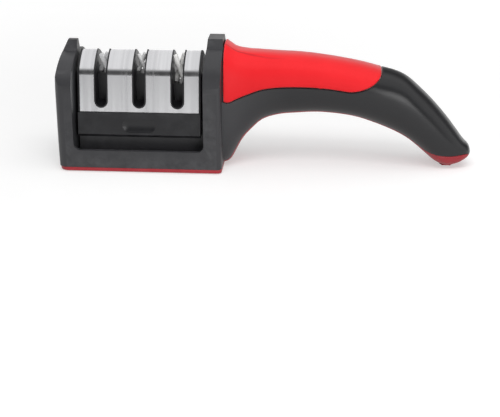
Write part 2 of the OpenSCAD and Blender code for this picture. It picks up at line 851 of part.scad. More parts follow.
// Outline of a wall seen along X, as points in Y and Z: an arch with a raised top on its crest
function wall_line(top, crest_half, crest_z) =
    let (crest = [crest_half, crest_z])
    let (half = concat(
        [[base_half, 0]],
        bezier([base_half, wall_upright_z], [base_half - 1.2, crest[1] - 2.6], crest, 8),
        [[crest_half - wall_top_taper, top]]
    ))
    concat(half, [for (k = [len(half) - 1:-1:0]) [-half[k][0], half[k][1]]]);

// Plan of the base with rounded corners
module plan(left) {
    l = left_corner_r;
    r = right_corner_r;
    translate([left + l, -base_half])
        square([base_right - left - l - r, base_w]);
    translate([left, -base_half + l])
        square([l + 1, base_w - 2 * l]);
    translate([base_right - r - 1, -base_half + r])
        square([r + 1, base_w - 2 * r]);
    for (side = [FRONT, REAR]) {
        translate([left + l, side * (base_half - l)])
            circle(r = l);
        translate([base_right - r, side * (base_half - r)])
            circle(r = r);
    }
}

module base_block() {
    intersection() {
        along_y(-base_half, base_half)
            polygon(side_line());
        linear_extrude(height = right_wall_top + 1)
            plan(base_left);
        union() {
            along_x(base_left - 1, 0)
                polygon(wall_line(left_wall_top, left_crest_half, left_crest_z));
            along_x(0, base_right + 1)
                polygon(wall_line(right_wall_top, right_crest_half, right_crest_z));
        }
    }
}

// Saddle under the cartridge, and the tongues that its end notches drop over
saddle_end = 1;
module saddle() {
    at_cartridge()
        along_x(well_left + saddle_end, well_right - saddle_end)
            polygon(hollow_line(seat_gap));
    for (x = [
        [well_left - 1, -cartridge_half_len + tongue_reach],
        [cartridge_half_len - tongue_reach, well_right + 1]
    ]) {
        translate([x[0], -tongue_half, floor_z - 1])
            cube([x[1] - x[0], tongue_half, tongue_front_z - floor_z + 1]);
        translate([x[0], 0, floor_z - 1])
            cube([x[1] - x[0], tongue_half, tongue_rear_z - floor_z + 1]);
    }
}

// Hollows of the base, open to the bottom cover
saddle_core_half = 5;
saddle_core_top = 22;
wall_core_y = cover_screw_y - 4.5;
wall_core_top = 48;
module base_hollows() {
    x0 = well_left + shell_t;
    x1 = well_right - shell_t;
    translate([x0, -base_half + shell_t, 0])
        cube([x1 - x0, base_w - 2 * shell_t, floor_z - shell_t]);
    translate([x0 + shell_t, -saddle_core_half, 0])
        cube([x1 - x0 - 2 * shell_t, 2 * saddle_core_half, saddle_core_top]);
    for (x = [
        [base_left + left_bow + shell_t, well_left - shell_t],
        [well_right + shell_t, base_right - shell_t]
    ])
        translate([x[0], -wall_core_y, 0])
            cube([x[1] - x[0], 2 * wall_core_y, wall_core_top]);
}

module cover_screw_shape(grow = 0, head_room = 0) {
    translate([0, 0, -head_room])
        cylinder(d = cover_screw_d + 2 * screw_head_over + 2 * grow, h = cover_head_h + head_room);
    cylinder(d = cover_screw_d + 2 * grow, h = cover_head_h + cover_screw_len + grow);
}

module at_cover_screws() {
    for (p = cover_screws_at)
        translate(p)
            children();
}

module body_shell() {
    color(black)
        difference() {
            union() {
                difference() {
                    base_block();
                    translate([well_left, -base_half + lip_t, floor_z])
                        cube([well_right - well_left, base_w - 2 * lip_t, lip_z]);
                }
                saddle();
                handle_body();
            }
            base_hollows();
            at_cover_screws()
                cover_screw_shape(screw_fit);
        }
}

// Pads and bottom cover

pad_r = 4;
module base_pad_shape(grow = 0) {
    w = pad_len + 2 * grow;
    h = pad_w + 2 * grow;
    r = pad_r + grow;
    translate([(base_left + base_right) / 2, 0, 0])
        linear_extrude(height = cover_z + pad_inset) {
            square([w, h - 2 * r], center = true);
            square([w - 2 * r, h], center = true);
            for (x = [-w / 2 + r, w / 2 - r])
                for (y = [-h / 2 + r, h / 2 - r])
                    translate([x, y])
                        circle(r = r);
        }
}

module tip_pad_shape(grow = 0) {
    translate([tip_pad_x, 0, 0])
        cylinder(d = tip_pad_d + 2 * grow, h = cover_z + pad_inset);
}

module base_pad() {
    color([0.1, 0.1, 0.1])
        base_pad_shape();
}

module tip_pad() {
    color([0.1, 0.1, 0.1])
        tip_pad_shape();
}

module bottom_cover() {
    color(red)
        difference() {
            union() {
                translate([0, 0, cover_z])
                    linear_extrude(height = cover_t)
                        plan(base_left + left_bow);
                cover_strip();
            }
            base_pad_shape(pad_gap);
            tip_pad_shape(pad_gap);
            at_cover_screws()
                cover_screw_shape(screw_fit, cover_z);
        }
}

module cover_screws() {
    color(steel)
        at_cover_screws()
            cover_screw_shape();
}

body_shell();
soft_grip();
bottom_cover();
base_pad();
tip_pad();
cover_screws();
cartridge_front_half();
cartridge_rear_half();
steel_cover();
carbide_bar(FRONT);  // carbide_bar_front
carbide_bar(REAR);  // carbide_bar_rear
diamond_rod(FRONT);  // diamond_rod_front
diamond_rod(REAR);  // diamond_rod_rear
ceramic_rod(FRONT);  // ceramic_rod_front
ceramic_rod(REAR);  // ceramic_rod_rear
cartridge_screws();
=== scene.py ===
"""Looks of the hand-held knife sharpener: black body, red soft grip and the lift-out three-slot cartridge."""

import math

import bmesh
import bpy
from mathutils import Matrix, Vector


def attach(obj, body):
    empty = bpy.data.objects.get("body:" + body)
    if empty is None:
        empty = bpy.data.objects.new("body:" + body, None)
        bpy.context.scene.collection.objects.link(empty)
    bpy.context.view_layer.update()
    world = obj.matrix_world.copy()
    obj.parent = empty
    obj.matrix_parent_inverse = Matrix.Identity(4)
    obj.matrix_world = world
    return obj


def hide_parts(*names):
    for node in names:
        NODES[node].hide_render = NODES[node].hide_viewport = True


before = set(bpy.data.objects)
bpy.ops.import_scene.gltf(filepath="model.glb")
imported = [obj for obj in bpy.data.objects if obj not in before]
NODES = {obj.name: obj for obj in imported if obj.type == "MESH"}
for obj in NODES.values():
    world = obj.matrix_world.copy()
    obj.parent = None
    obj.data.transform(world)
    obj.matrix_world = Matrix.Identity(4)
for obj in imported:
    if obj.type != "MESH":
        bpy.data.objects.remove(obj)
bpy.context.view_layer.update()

# Sizes in millimetres, as in the part's source. X runs along the handle, Z is up from the table.
MM = 0.001

# Base: faces of the well, outer faces and half width, undersides of the black shell and of the red cover
WELL_LEFT, WELL_RIGHT = -33.05, 33.55
BASE_LEFT, BASE_RIGHT, BASE_HALF = -41.85, 42.55, 24.0
SHELL_Z, COVER_Z = 2.4, 0.4
LEFT_CORNER, RIGHT_CORNER = 5.0, 2.5
# End walls: raised tops, crests of the arches in Y and Z, and where the arches start
LEFT_TOP, RIGHT_TOP = 63.7, 66.0
LEFT_CREST, RIGHT_CREST = (4.0, 58.3), (8.0, 61.6)
UPRIGHT_Z, CREST_TAPER = 42.0, 2.5
# Window in the long sides, floor of the well, underside of the cartridge, tongues that it sits over
LIP_Z, LIP_T, WINDOW_R, FLOOR_Z = 11.5, 2.2, 3.5, 8.0
CARTRIDGE_Z = 17.1
TONGUE_HALF, TONGUE_X, TONGUE_FRONT_Z, TONGUE_REAR_Z = 3.5, 26.35, 43.7, 45.0
# Rubber pads with the gap round them, screws of the red cover with their holes, clamp screws
PAD_MIDDLE, PAD_LEN, PAD_W, PAD_R, PAD_TOP = 0.35, 60.0, 36.0, 4.0, 1.2
TIP_PAD_X, TIP_PAD_R, PAD_GAP = 157.6, 3.5, 0.2
SCREW_X, SCREW_Y, HOLE_R, HOLE_TOP = (-37.05, 38.05), 17.0, 2.35, 1.5
CLAMP_X, CLAMP_Y, CLAMP_Z = 9.8, -12.6, CARTRIDGE_Z + 21
# Steel cover: foot and shoulder in Y and Z, ridge, crown of its slopes, sheet, half length, bend, slots
STEEL_FOOT, STEEL_SHOULDER, STEEL_RIDGE_Z = (15.8, 29.7), (12.5, 50.5), 58.6
STEEL_CROWN, STEEL_T, STEEL_END, STEEL_BEND = 1.1, 0.5, 30.5, 7.5
SLOT_PITCH, CUT_W, CUT_FLOOR = 19.6, 7.1, 31.7
# Soft grip: thickness, bed and gap, stations where it starts, narrows and ends, angles of its edge
GRIP_T, GRIP_BED, GRIP_GAP = 1.6, 0.05, 0.35
GRIP_START, GRIP_FLAT_END, GRIP_END = 0.5, 8.2, 10.0
GRIP_ROOT_A, GRIP_EDGE_A, GRIP_END_A = 86.0, 89.0, 20.0
# Depth and height of the groove above the red cover
GROOVE = 0.3


# ---- mesh helpers

def new_piece(name, points, faces):
    """Makes a mesh object from points in millimetres."""
    mesh = bpy.data.meshes.new(name)
    mesh.from_pydata([Vector(p) * MM for p in points], [], faces)
    mesh.validate()
    obj = bpy.data.objects.new(name, mesh)
    bpy.context.scene.collection.objects.link(obj)
    return obj


def edit_mesh(obj, work):
    """Runs work on the object's mesh as a bmesh."""
    bm = bmesh.new()
    bm.from_mesh(obj.data)
    work(bm)
    bm.to_mesh(obj.data)
    bm.free()
    obj.data.update()


def outward(obj):
    edit_mesh(obj, lambda bm: bmesh.ops.recalc_face_normals(bm, faces=bm.faces))


def settle(obj):
    """Turns an object's live modifiers into its plain mesh."""
    depsgraph = bpy.context.evaluated_depsgraph_get()
    mesh = bpy.data.meshes.new_from_object(obj.evaluated_get(depsgraph))
    obj.modifiers.clear()
    obj.data = mesh


def modify(obj, kind, **settings):
    """Works a modifier with these settings into the object's mesh."""
    modifier = obj.modifiers.new(kind, kind)
    for key, value in settings.items():
        setattr(modifier, key, value)
    settle(obj)


def carve(target, tool, how="DIFFERENCE"):
    """Cuts the target by a tool, or joins or trims it, and throws the tool away."""
    modify(target, "BOOLEAN", operation=how, object=tool, solver="EXACT")
    bpy.data.objects.remove(tool)


def tidy_flats(bm, angle=0.3):
    """Merges doubles and the triangles of flat faces, up to an angle in degrees."""
    bmesh.ops.remove_doubles(bm, verts=bm.verts, dist=2e-6)
    bmesh.ops.dissolve_degenerate(bm, edges=bm.edges, dist=1e-6)
    bmesh.ops.dissolve_limit(bm, angle_limit=math.radians(angle), verts=bm.verts, edges=bm.edges)


def ease_edges(obj, width, segments=2, angle=32):
    """Rounds the sharp edges by a width in millimetres."""
    modify(obj, "BEVEL", width=width * MM, segments=segments, limit_method="ANGLE",
           angle_limit=math.radians(angle), miter_outer="MITER_ARC", use_clamp_overlap=True)


def shade(obj, angle=38, level=True):
    """Smooth shading with sharp creases, in which the wide faces keep their own normals."""
    obj.data.shade_smooth()
    obj.data.set_sharp_from_angle(angle=math.radians(angle))
    if level:
        modify(obj, "WEIGHTED_NORMAL", keep_sharp=True)


def prism(name, outline, axis, low, high):
    """Extrudes an outline along X, Y or Z."""
    place = {
        "X": lambda a, b, h: (h, a, b),
        "Y": lambda a, b, h: (a, h, b),
        "Z": lambda a, b, h: (a, b, h),
    }[axis]
    n = len(outline)
    points = [place(a, b, h) for h in (low, high) for a, b in outline]
    faces = [list(range(n)), list(range(n, 2 * n))]
    faces += [[k, (k + 1) % n, n + (k + 1) % n, n + k] for k in range(n)]
    obj = new_piece(name, points, faces)
    outward(obj)
    return obj


def block(name, x, y, z):
    """Box between two values of each of x, y and z."""
    return prism(name, [(x[0], y[0]), (x[1], y[0]), (x[1], y[1]), (x[0], y[1])], "Z", *z)


def arc(x, z, r, start, end, n=12):
    """Points round a centre, from one angle to another in degrees."""
    steps = [math.radians(start + (end - start) * k / n) for k in range(n + 1)]
    return [(x + r * math.cos(a), z + r * math.sin(a)) for a in steps]


def bow(p, q, r, n):
    """Points of a quadratic curve from p to r that leans to q."""
    steps = [k / n for k in range(n + 1)]
    return [tuple((1 - t) ** 2 * a + 2 * t * (1 - t) * b + t * t * c for a, b, c in zip(p, q, r))
            for t in steps]


def through(points, n):
    """Points of a smooth curve through the given ones, n to each stretch."""
    out = []
    last = len(points) - 1
    for i in range(last):
        p = [points[min(max(i + k, 0), last)] for k in (-1, 0, 1, 2)]
        for s in range(n):
            t = s / n
            out.append(tuple(catmull(*(q[c] for q in p), t) for c in (0, 1)))
    return out + [tuple(points[last])]


def catmull(a, b, d, e, t):
    """Value at t of a smooth curve from b to d, with a before it and e after it."""
    return b + 0.5 * t * (d - a + t * (2 * a - 5 * b + 4 * d - e + t * (3 * (b - d) + e - a)))


# ---- base of the body

def side_line():
    """Both end walls and the window between them, as points in X and Z."""
    lean = 1.6
    outer = through([
        (BASE_LEFT + 0.8, SHELL_Z), (BASE_LEFT + 0.24, 15.1), (BASE_LEFT, 27.7),
        (BASE_LEFT + 0.16, 39.1), (BASE_LEFT + 0.64, 48.2), (BASE_LEFT + 1.28, 54.3),
        (BASE_LEFT + lean, LEFT_CREST[1]),
    ], 4)
    outer = [(max(x, BASE_LEFT), z) for x, z in outer]
    return outer + [(BASE_LEFT + lean + 2.5, LEFT_TOP), (WELL_LEFT, LEFT_TOP)] + (
        arc(WELL_LEFT + WINDOW_R, LIP_Z + WINDOW_R, WINDOW_R, 180, 270)
        + arc(WELL_RIGHT - WINDOW_R, LIP_Z + WINDOW_R, WINDOW_R, 270, 360)
    ) + [
        (WELL_RIGHT, RIGHT_CREST[1] - 8), (WELL_RIGHT + 1.1, RIGHT_TOP),
        (BASE_RIGHT - 0.3, RIGHT_TOP), (BASE_RIGHT, RIGHT_CREST[1]), (BASE_RIGHT, SHELL_Z),
    ]


def plan_line(left):
    """Footprint of the base with its rounded corners, as points in X and Y."""
    near, far = LEFT_CORNER, RIGHT_CORNER
    return (
        arc(left + near, -BASE_HALF + near, near, 180, 270, 16)
        + arc(BASE_RIGHT - far, -BASE_HALF + far, far, 270, 360)
        + arc(BASE_RIGHT - far, BASE_HALF - far, far, 0, 90)
        + arc(left + near, BASE_HALF - near, near, 90, 180, 16)
    )


def above_wall(name, x, top, crest):
    """What is cut away above an end wall's arch and its raised top."""
    half = bow((BASE_HALF, UPRIGHT_Z), (BASE_HALF - 1.2, crest[1] - 2.6), crest, 26)
    half += [(crest[0] - CREST_TAPER, top)]
    line = [(BASE_HALF + 9, UPRIGHT_Z)] + half + [(-y, z) for y, z in reversed(half)]
    line += [(-BASE_HALF - 9, UPRIGHT_Z), (-BASE_HALF - 9, top + 9), (BASE_HALF + 9, top + 9)]
    return prism(name, line, "X", *x)


def saddle_line():
    """Saddle under the cartridge, as points in Y and Z."""
    half = [(12.7, FLOOR_Z - 1), (12.7, CARTRIDGE_Z), (10.3, CARTRIDGE_Z + 6), (4.2, CARTRIDGE_Z + 12.7)]
    return half + [(-y, z) for y, z in reversed(half)]


def make_base():
    base = prism("base", side_line(), "Y", -BASE_HALF, BASE_HALF)
    carve(base, prism("plan", plan_line(BASE_LEFT), "Z", 0, 80), "INTERSECT")
    carve(base, above_wall("above_left", (-60, -15), LEFT_TOP, LEFT_CREST))
    carve(base, above_wall("above_right", (15, 60), RIGHT_TOP, RIGHT_CREST))
    inner = BASE_HALF - LIP_T
    carve(base, block("well", (WELL_LEFT, WELL_RIGHT), (-inner, inner), (FLOOR_Z, 30)))
    carve(base, prism("saddle", saddle_line(), "X", WELL_LEFT + 1, WELL_RIGHT - 1), "UNION")
    for x in ((WELL_LEFT - 1, -TONGUE_X), (TONGUE_X, WELL_RIGHT + 1)):
        carve(base, block("tongue", x, (-TONGUE_HALF, TONGUE_HALF), (FLOOR_Z - 1, TONGUE_FRONT_Z)), "UNION")
        carve(base, block("tongue", x, (0.0, TONGUE_HALF), (TONGUE_FRONT_Z - 1, TONGUE_REAR_Z)), "UNION")
    edit_mesh(base, tidy_flats)
    ease_edges(base, 0.7, 3)
    return base


# ---- skin of the handle

# Stations from the wall to the tip: top point's x and z, low point's x and z, half width,
# squareness of the section, share of its height that belongs to the red cover
STATIONS = [
    [-0.8, 64, -0.8, 0.4, 18.5, 3, 2 / 63.6],
    [2.2, 62.3, 3.5, 2.4, 17.3, 2.9, 0.035],
    [6.3, 59.8, 9.1, 12.6, 16, 2.75, 0.045],
    [12.2, 58.9, 14.2, 18.7, 15.2, 2.6, 0.05],
    [19.5, 58.8, 20.1, 23.8, 14.6, 2.5, 0.055],
    [28.5, 58.6, 28.1, 26.5, 14.2, 2.5, 0.06],
    [39.4, 58.2, 38, 27.6, 14, 2.5, 0.065],
    [50.4, 57, 48.4, 28.2, 14, 2.5, 0.065],
    [61.4, 55.3, 59.4, 27.5, 14.2, 2.5, 0.065],
    [71.4, 53.3, 68.4, 26, 14.6, 2.5, 0.065],
    [80.4, 50.9, 76.4, 23.5, 15, 2.5, 0.065],
    [87.3, 49.1, 83.4, 20.8, 15, 2.5, 0.065],
    [93.2, 46.3, 89.6, 17.9, 14.8, 2.5, 0.065],
    [99.4, 41.2, 94.6, 14.9, 14.3, 2.5, 0.065],
    [106.7, 34.2, 99, 11.3, 13.6, 2.4, 0.07],
    [113.7, 26.3, 103.2, 7.6, 12.8, 2.4, 0.11],
    [119.3, 19.1, 107.3, 4.1, 11.7, 2.5, 0.26],
    [123.2, 13.9, 111.2, 1.8, 10.2, 2.6, 0.48],
    [126, 11, 115, 1.0, 8.8, 2.6, 0.72],
    [126.9, 8.7, 118.7, 1.7, 7.4, 2.5, 0.87],
    [126.9, 7.4, 121.6, 2.9, 5.6, 2.3, 0.91],
    [126.4, 5.8, 124, 3.9, 3, 2.1, 0.93],
]
LAST = len(STATIONS) - 1
TOP_X, TOP_Z, LOW_X, LOW_Z, HALF_W, SQUARE, COVER = range(7)


def smooth(u, column):
    """Value of one station column at u, on a smooth curve through the stations."""
    i = min(int(u), LAST - 1)
    row = [STATIONS[min(max(i + k, 0), LAST)][column] for k in (-1, 0, 1, 2)]
    return catmull(*row, u - i)


def power(v, n):
    """Keeps the sign of v, and squares a round section off as n grows."""
    return math.copysign(abs(v) ** (2 / n), v)


def skin(u, a, d=0.0):
    """Point of the handle at station u and angle a from the top, moved in by d."""
    top = Vector((smooth(u, TOP_X), 0, smooth(u, TOP_Z)))
    low = Vector((smooth(u, LOW_X), 0, smooth(u, LOW_Z)))
    half = (top - low).length / 2
    n = smooth(u, SQUARE)
    p = (top + low) / 2 + (top - low) / 2 * power(math.cos(math.radians(a)), n) * (half - d) / half
    p.x += BASE_RIGHT
    p.y = (smooth(u, HALF_W) - d) * power(math.sin(math.radians(a)), n)
    return p


def parting(u):
    """Angle of the edge between the black body and the red cover."""
    h = 2 * smooth(u, COVER) - 1
    return math.degrees(math.acos(math.copysign(abs(h) ** (smooth(u, SQUARE) / 2), h)))


def reach_u(u, a):
    """Millimetres that the skin covers for one step of u."""
    return (skin(u + 0.05, a) - skin(u - 0.05, a)).length / 0.1


def reach_a(u, a):
    """Millimetres that the skin covers for one degree."""
    return (skin(u, a + 0.4) - skin(u, a - 0.4)).length / 0.8


# The grid on the skin: TOP_N columns a side over the top, FLANK_N down each flank. Rows run round
# the handle, and between ZONE_IN and ZONE_OUT they bend to follow the grip's rounded end. The other
# counts are of the rows before it, in its two halves and after it.
TOP_N, FLANK_N = 20, 9
ZONE_IN, ZONE_OUT = 7.0, 10.8
BEFORE_N, BEND_IN_N, BEND_OUT_N, AFTER_N = 54, 14, 10, 86
# Past this angle the section's side is too flat to measure by angle
SIDE_A = 88


def top_edge(u):
    """Angle where the top columns end, beyond the grip."""
    return min(GRIP_EDGE_A, 0.62 * parting(u))


def closing_line():
    """The grip's rounded end from its side edge to the middle, as u and angle, evenly spaced."""
    fine = []
    corner, straight = 60, 20
    for k in range(corner + 1):
        t = math.radians(90 / corner * k)
        fine.append((
            GRIP_FLAT_END + (GRIP_END - GRIP_FLAT_END) * math.sin(t),
            GRIP_END_A + (GRIP_EDGE_A - GRIP_END_A) * math.cos(t),
        ))
    fine += [(GRIP_END, GRIP_END_A * (1 - k / straight)) for k in range(1, straight + 1)]
    spots = [skin(*p) for p in fine]
    run = [0.0]
    for p, q in zip(spots, spots[1:]):
        run.append(run[-1] + (q - p).length)
    out = []
    k = 0
    for j in range(TOP_N + 1):
        want = run[-1] * j / TOP_N
        while k < len(run) - 2 and run[k + 1] < want:
            k += 1
        t = (want - run[k]) / (run[k + 1] - run[k])
        out.append(tuple(a + (b - a) * t for a, b in zip(fine[k], fine[k + 1])))
    return out


CLOSING = closing_line()


class Border:
    """The grip's outline, moved out over the skin by a distance in millimetres."""

    def __init__(self, out):
        self.out = out
        self.end = []
        for j, (u, a) in enumerate(CLOSING):
            p = CLOSING[max(j - 1, 0)]
            q = CLOSING[min(j + 1, TOP_N)]
            ru, ra = reach_u(u, a), reach_a(u, min(a, SIDE_A))
            along = Vector(((q[0] - p[0]) * ru, (q[1] - p[1]) * ra)).normalized()
            if j == 0:
                along = Vector((1, 0))
            if j == TOP_N:
                along = Vector((0, -1))
            self.end.append((u - along.y * out / ru, a + along.x * out / ra))

    def edge(self, u):
        """Angle of the outline's side at u."""
        a = GRIP_EDGE_A if u > 2 else GRIP_ROOT_A + (GRIP_EDGE_A - GRIP_ROOT_A) * max(u, 0) / 2
        return a + self.out / reach_a(u, min(a, SIDE_A))

    def start(self):
        """Station where the outline starts, behind the wall."""
        return GRIP_START - (self.out + GRIP_GAP) / reach_u(GRIP_START, 0)

    def spot(self, row, m):
        """u and angle of the grid's point: m counts from the top, TOP_N is the grip's edge."""
        kind, v = row
        side = -1 if m < 0 else 1
        m = abs(m)
        if kind == "ring":
            u = v
            edge = self.edge(u) if u <= ZONE_IN else top_edge(u)
            if m <= TOP_N:
                return u, side * edge * m / TOP_N
        else:
            near = (ZONE_IN, self.edge(ZONE_IN))
            far = (ZONE_OUT, top_edge(ZONE_OUT))
            start, stop = (near, self.end[0]) if kind == "in" else (self.end[0], far)
            u = start[0] + (stop[0] - start[0]) * v
            edge = start[1] + (stop[1] - start[1]) * v
            if m <= TOP_N:
                bent = self.end[TOP_N - m]
                ring = near if kind == "in" else far
                ring = (ring[0], ring[1] * m / TOP_N)
                p, q = (ring, bent) if kind == "in" else (bent, ring)
                return p[0] + (q[0] - p[0]) * v, side * (p[1] + (q[1] - p[1]) * v)
        low = parting(u) - GROOVE / reach_a(u, parting(u) - 1)
        return u, side * (edge + (low - edge) * (m - TOP_N) / FLANK_N)


def rows_along(kind, start, stop, n, first=1):
    """Rows of one kind at n even steps from start to stop."""
    return [(kind, start + (stop - start) * k / n) for k in range(first, n + 1)]


def rows_from(start):
    """Ring rows from start up to the bending zone."""
    return rows_along("ring", start, ZONE_IN, BEFORE_N, 0)


RINGS_IN = rows_from(GRIP_START)
ROWS_IN = rows_along("in", 0, 1, BEND_IN_N)
ROWS_OUT = rows_along("out", 0, 1, BEND_OUT_N)
RINGS_OUT = rows_along("ring", ZONE_OUT, LAST, AFTER_N)
BEYOND = ROWS_OUT + RINGS_OUT


def crease_rise(u, a):
    """Height of the soft step that runs back from the wall along the grip's top."""
    fade = min(1.0, max(0.0, (5.6 - u) / 3.2))
    step = min(1.0, max(0.0, (18 + 1.8 * u - abs(a)) / 7))
    return 0.7 * fade * fade * (3 - 2 * fade) * step * step * (3 - 2 * step)


def raised(u, a, d=0.0):
    """Point of the soft grip's skin, with its crease."""
    return skin(u, a, d - crease_rise(u, a))


class Weave:
    """Collects points and faces of one closed skin."""

    def __init__(self):
        self.points, self.faces = [], []

    def strand(self, points):
        """Adds a line of points and gives their numbers."""
        first = len(self.points)
        self.points += points
        return list(range(first, first + len(points)))

    def band(self, a, b, closed=False):
        """Faces between two strands of as many points."""
        n = len(a)
        for k in range(n if closed else n - 1):
            j = (k + 1) % n
            self.faces.append([a[k], b[k], b[j], a[j]])

    def bands(self, strands, closed=False):
        for a, b in zip(strands, strands[1:]):
            self.band(a, b, closed)

    def piece(self, name):
        obj = new_piece(name, self.points, self.faces)
        edit_mesh(obj, lambda bm: bmesh.ops.remove_doubles(bm, verts=bm.verts, dist=1e-6))
        outward(obj)
        return obj


def loop_of(border, depth, form, closed, start_rows):
    """Points along the grip's outline at one depth, from the wall round the end and back."""
    rows = start_rows + ROWS_IN
    spots = [border.spot(r, TOP_N) for r in rows]
    spots += [border.spot(rows[-1], m) for m in range(TOP_N - 1, -TOP_N, -1)]
    spots += [border.spot(r, -TOP_N) for r in reversed(rows)]
    if closed:
        spots += [border.spot(rows[0], m) for m in range(-TOP_N + 1, TOP_N)]
    return [form(u, a, depth) for u, a in spots]


def sheet_of(weave, border, depth, form, rows):
    """Adds a grid of rows across the top to the skin."""
    strands = []
    for row in rows:
        spots = [border.spot(row, m) for m in range(-TOP_N, TOP_N + 1)]
        strands.append(weave.strand([form(u, a, depth) for u, a in spots]))
    weave.bands(strands)


def make_handle():
    """Black handle with the grip's recess, closed below by the flat that the red cover sits on."""
    weave = Weave()
    lip, bed, foot_m = 0.35, GRIP_T + GRIP_BED, TOP_N + FLANK_N
    outer, wall = Border(lip), Border(0.0)
    rows = [("ring", GRIP_START * k / 4) for k in range(4)] + RINGS_IN + ROWS_IN
    for side in (-1, 1):
        flank = []
        for row in rows + BEYOND:
            spots = [outer.spot(row, side * m) for m in range(TOP_N, foot_m + 1)]
            flank.append(weave.strand([skin(u, a) for u, a in spots]))
        weave.bands(flank)
    sheet_of(weave, outer, 0.0, skin, [ROWS_IN[-1]] + BEYOND)
    sheet_of(weave, wall, bed, skin, rows)
    # Rounded lip of the recess
    steps = [(lip * (1 - math.sin(t)), lip * (1 - math.cos(t))) for t in (0, 0.4, 0.8, 1.2, math.pi / 2)]
    steps += [(0.0, 0.9), (0.0, bed)]
    start_rows = rows[:-len(ROWS_IN)]
    weave.bands([weave.strand(loop_of(Border(out), d, skin, False, start_rows)) for out, d in steps])
    # Shadow groove above the cover, and the flat floor
    feet = []
    for row in rows + BEYOND:
        u, _ = outer.spot(row, foot_m)
        edge = [skin(*outer.spot(row, side * foot_m)) for side in (-1, 1)]
        foot = [skin(u, side * parting(u), GROOVE) for side in (-1, 1)]
        feet.append(weave.strand([edge[0], foot[0], foot[1], edge[1]]))
    weave.bands(feet)
    # Ends
    for row, d in ((rows[0], bed), (RINGS_OUT[-1], 0.0)):
        u, _ = outer.spot(row, foot_m)
        flank = [skin(*outer.spot(row, -m)) for m in range(foot_m, TOP_N - 1, -1)]
        if d:
            flank += [skin(*Border(o).spot(row, -TOP_N), k) for o, k in steps[1:-1]]
        across = [skin(*(wall if d else outer).spot(row, m), d) for m in range(-TOP_N, TOP_N + 1)]
        line = flank + across + [Vector((p.x, -p.y, p.z)) for p in reversed(flank)]
        line += [skin(u, side * parting(u), GROOVE) for side in (1, -1)]
        weave.faces.append(weave.strand(line))
    return weave.piece("handle")


def make_grip():
    """Soft grip with rounded edges, let into the handle with a fine gap."""
    weave = Weave()
    round_r = 0.75
    steps = [(-GRIP_GAP - round_r * (1 - math.sin(t)), round_r * (1 - math.cos(t)))
             for t in (0, 0.3, 0.6, 0.9, 1.2, math.pi / 2)]
    steps += [(-GRIP_GAP, 1.2), (-GRIP_GAP, GRIP_T)]
    strands = []
    for out, depth in steps:
        border = Border(out)
        form = raised if depth < GRIP_T else skin
        strands.append(weave.strand(loop_of(border, depth, form, True, rows_from(border.start()))))
    weave.bands(strands, closed=True)
    for out, depth, form in ((steps[0][0], 0.0, raised), (steps[-1][0], GRIP_T, skin)):
        border = Border(out)
        sheet_of(weave, border, depth, form, rows_from(border.start()) + ROWS_IN)
    return weave.piece("soft_grip_skin")


def make_cover():
    """Red sole of the base, strip along the handle's underside and foot at its tip."""
    weave = Weave()
    around, along = 10, 168
    strands = []
    for k in range(along + 1):
        u = LAST * k / along
        p = parting(u)
        low = p + GROOVE / reach_a(u, min(p + 1, 170))
        ring = [skin(u, p, GROOVE)]
        ring += [skin(u, 180 - (180 - low) * j / around) for j in range(around, -around - 1, -1)]
        ring += [skin(u, -p, GROOVE)]
        strands.append(weave.strand(ring))
    weave.bands(strands, closed=True)
    weave.faces += [list(strands[0]), list(strands[-1])]
    strip = weave.piece("red_cover")
    sole = prism("sole", plan_line(BASE_LEFT + 0.8), "Z", COVER_Z, SHELL_Z)
    ease_edges(sole, 0.35)
    carve(sole, strip, "UNION")
    bed = PAD_LEN + 2 * PAD_GAP, PAD_W + 2 * PAD_GAP, PAD_R + PAD_GAP
    carve(sole, rounded_slab("pad_bed", *bed, (-1, PAD_TOP)))
    carve(sole, disc("tip_bed", TIP_PAD_X, 0, TIP_PAD_R + PAD_GAP, (-1, PAD_TOP)))
    for x in SCREW_X:
        for y in (-SCREW_Y, SCREW_Y):
            carve(sole, disc("screw_hole", x, y, HOLE_R, (-1, HOLE_TOP)))
    return sole


def rounded_slab(name, length, width, r, z):
    x, y = length / 2 - r, width / 2 - r
    line = []
    for k, (cx, cy) in enumerate(((x, y), (-x, y), (-x, -y), (x, -y))):
        line += arc(PAD_MIDDLE + cx, cy, r, 90 * k, 90 * k + 90, 8)
    return prism(name, line, "Z", *z)


def disc(name, x, y, r, z):
    return prism(name, arc(x, y, r, 0, 360, 40)[:-1], "Z", *z)


# ---- node helpers

def new_group(kind, name, inputs, outputs):
    """New node group with inputs (label, socket, default) and outputs (label, socket), and its two ends."""
    tree = bpy.data.node_groups.new(name, kind)
    for label, socket in outputs:
        tree.interface.new_socket(label, in_out="OUTPUT", socket_type="NodeSocket" + socket)
    for label, socket, value in inputs:
        made = tree.interface.new_socket(label, in_out="INPUT", socket_type="NodeSocket" + socket)
        if value is not None:
            made.default_value = value
    return tree, tree.nodes.new("NodeGroupInput").outputs, tree.nodes.new("NodeGroupOutput").inputs


def feed(tree, node, links):
    """Links or sets a node's inputs: (input name or number, output socket or value)."""
    for where, source in links:
        socket = node.inputs[where]
        if isinstance(source, bpy.types.NodeSocket):
            tree.links.new(source, socket)
        else:
            socket.default_value = source


def add(tree, kind, links=(), **settings):
    """Adds a node with its settings, feeds its inputs and gives its outputs."""
    node = tree.nodes.new(kind)
    for key, value in settings.items():
        setattr(node, key, value)
    feed(tree, node, links)
    return node.outputs


def maths(tree, operation, a, b=0.0):
    return add(tree, "ShaderNodeMath", [(0, a), (1, b)], operation=operation)[0]


def times(tree, a, b):
    return maths(tree, "MULTIPLY", a, b)


def plus(tree, a, b):
    return maths(tree, "ADD", a, b)


def vector(tree, **parts):
    return add(tree, "ShaderNodeCombineXYZ", parts.items())[0]


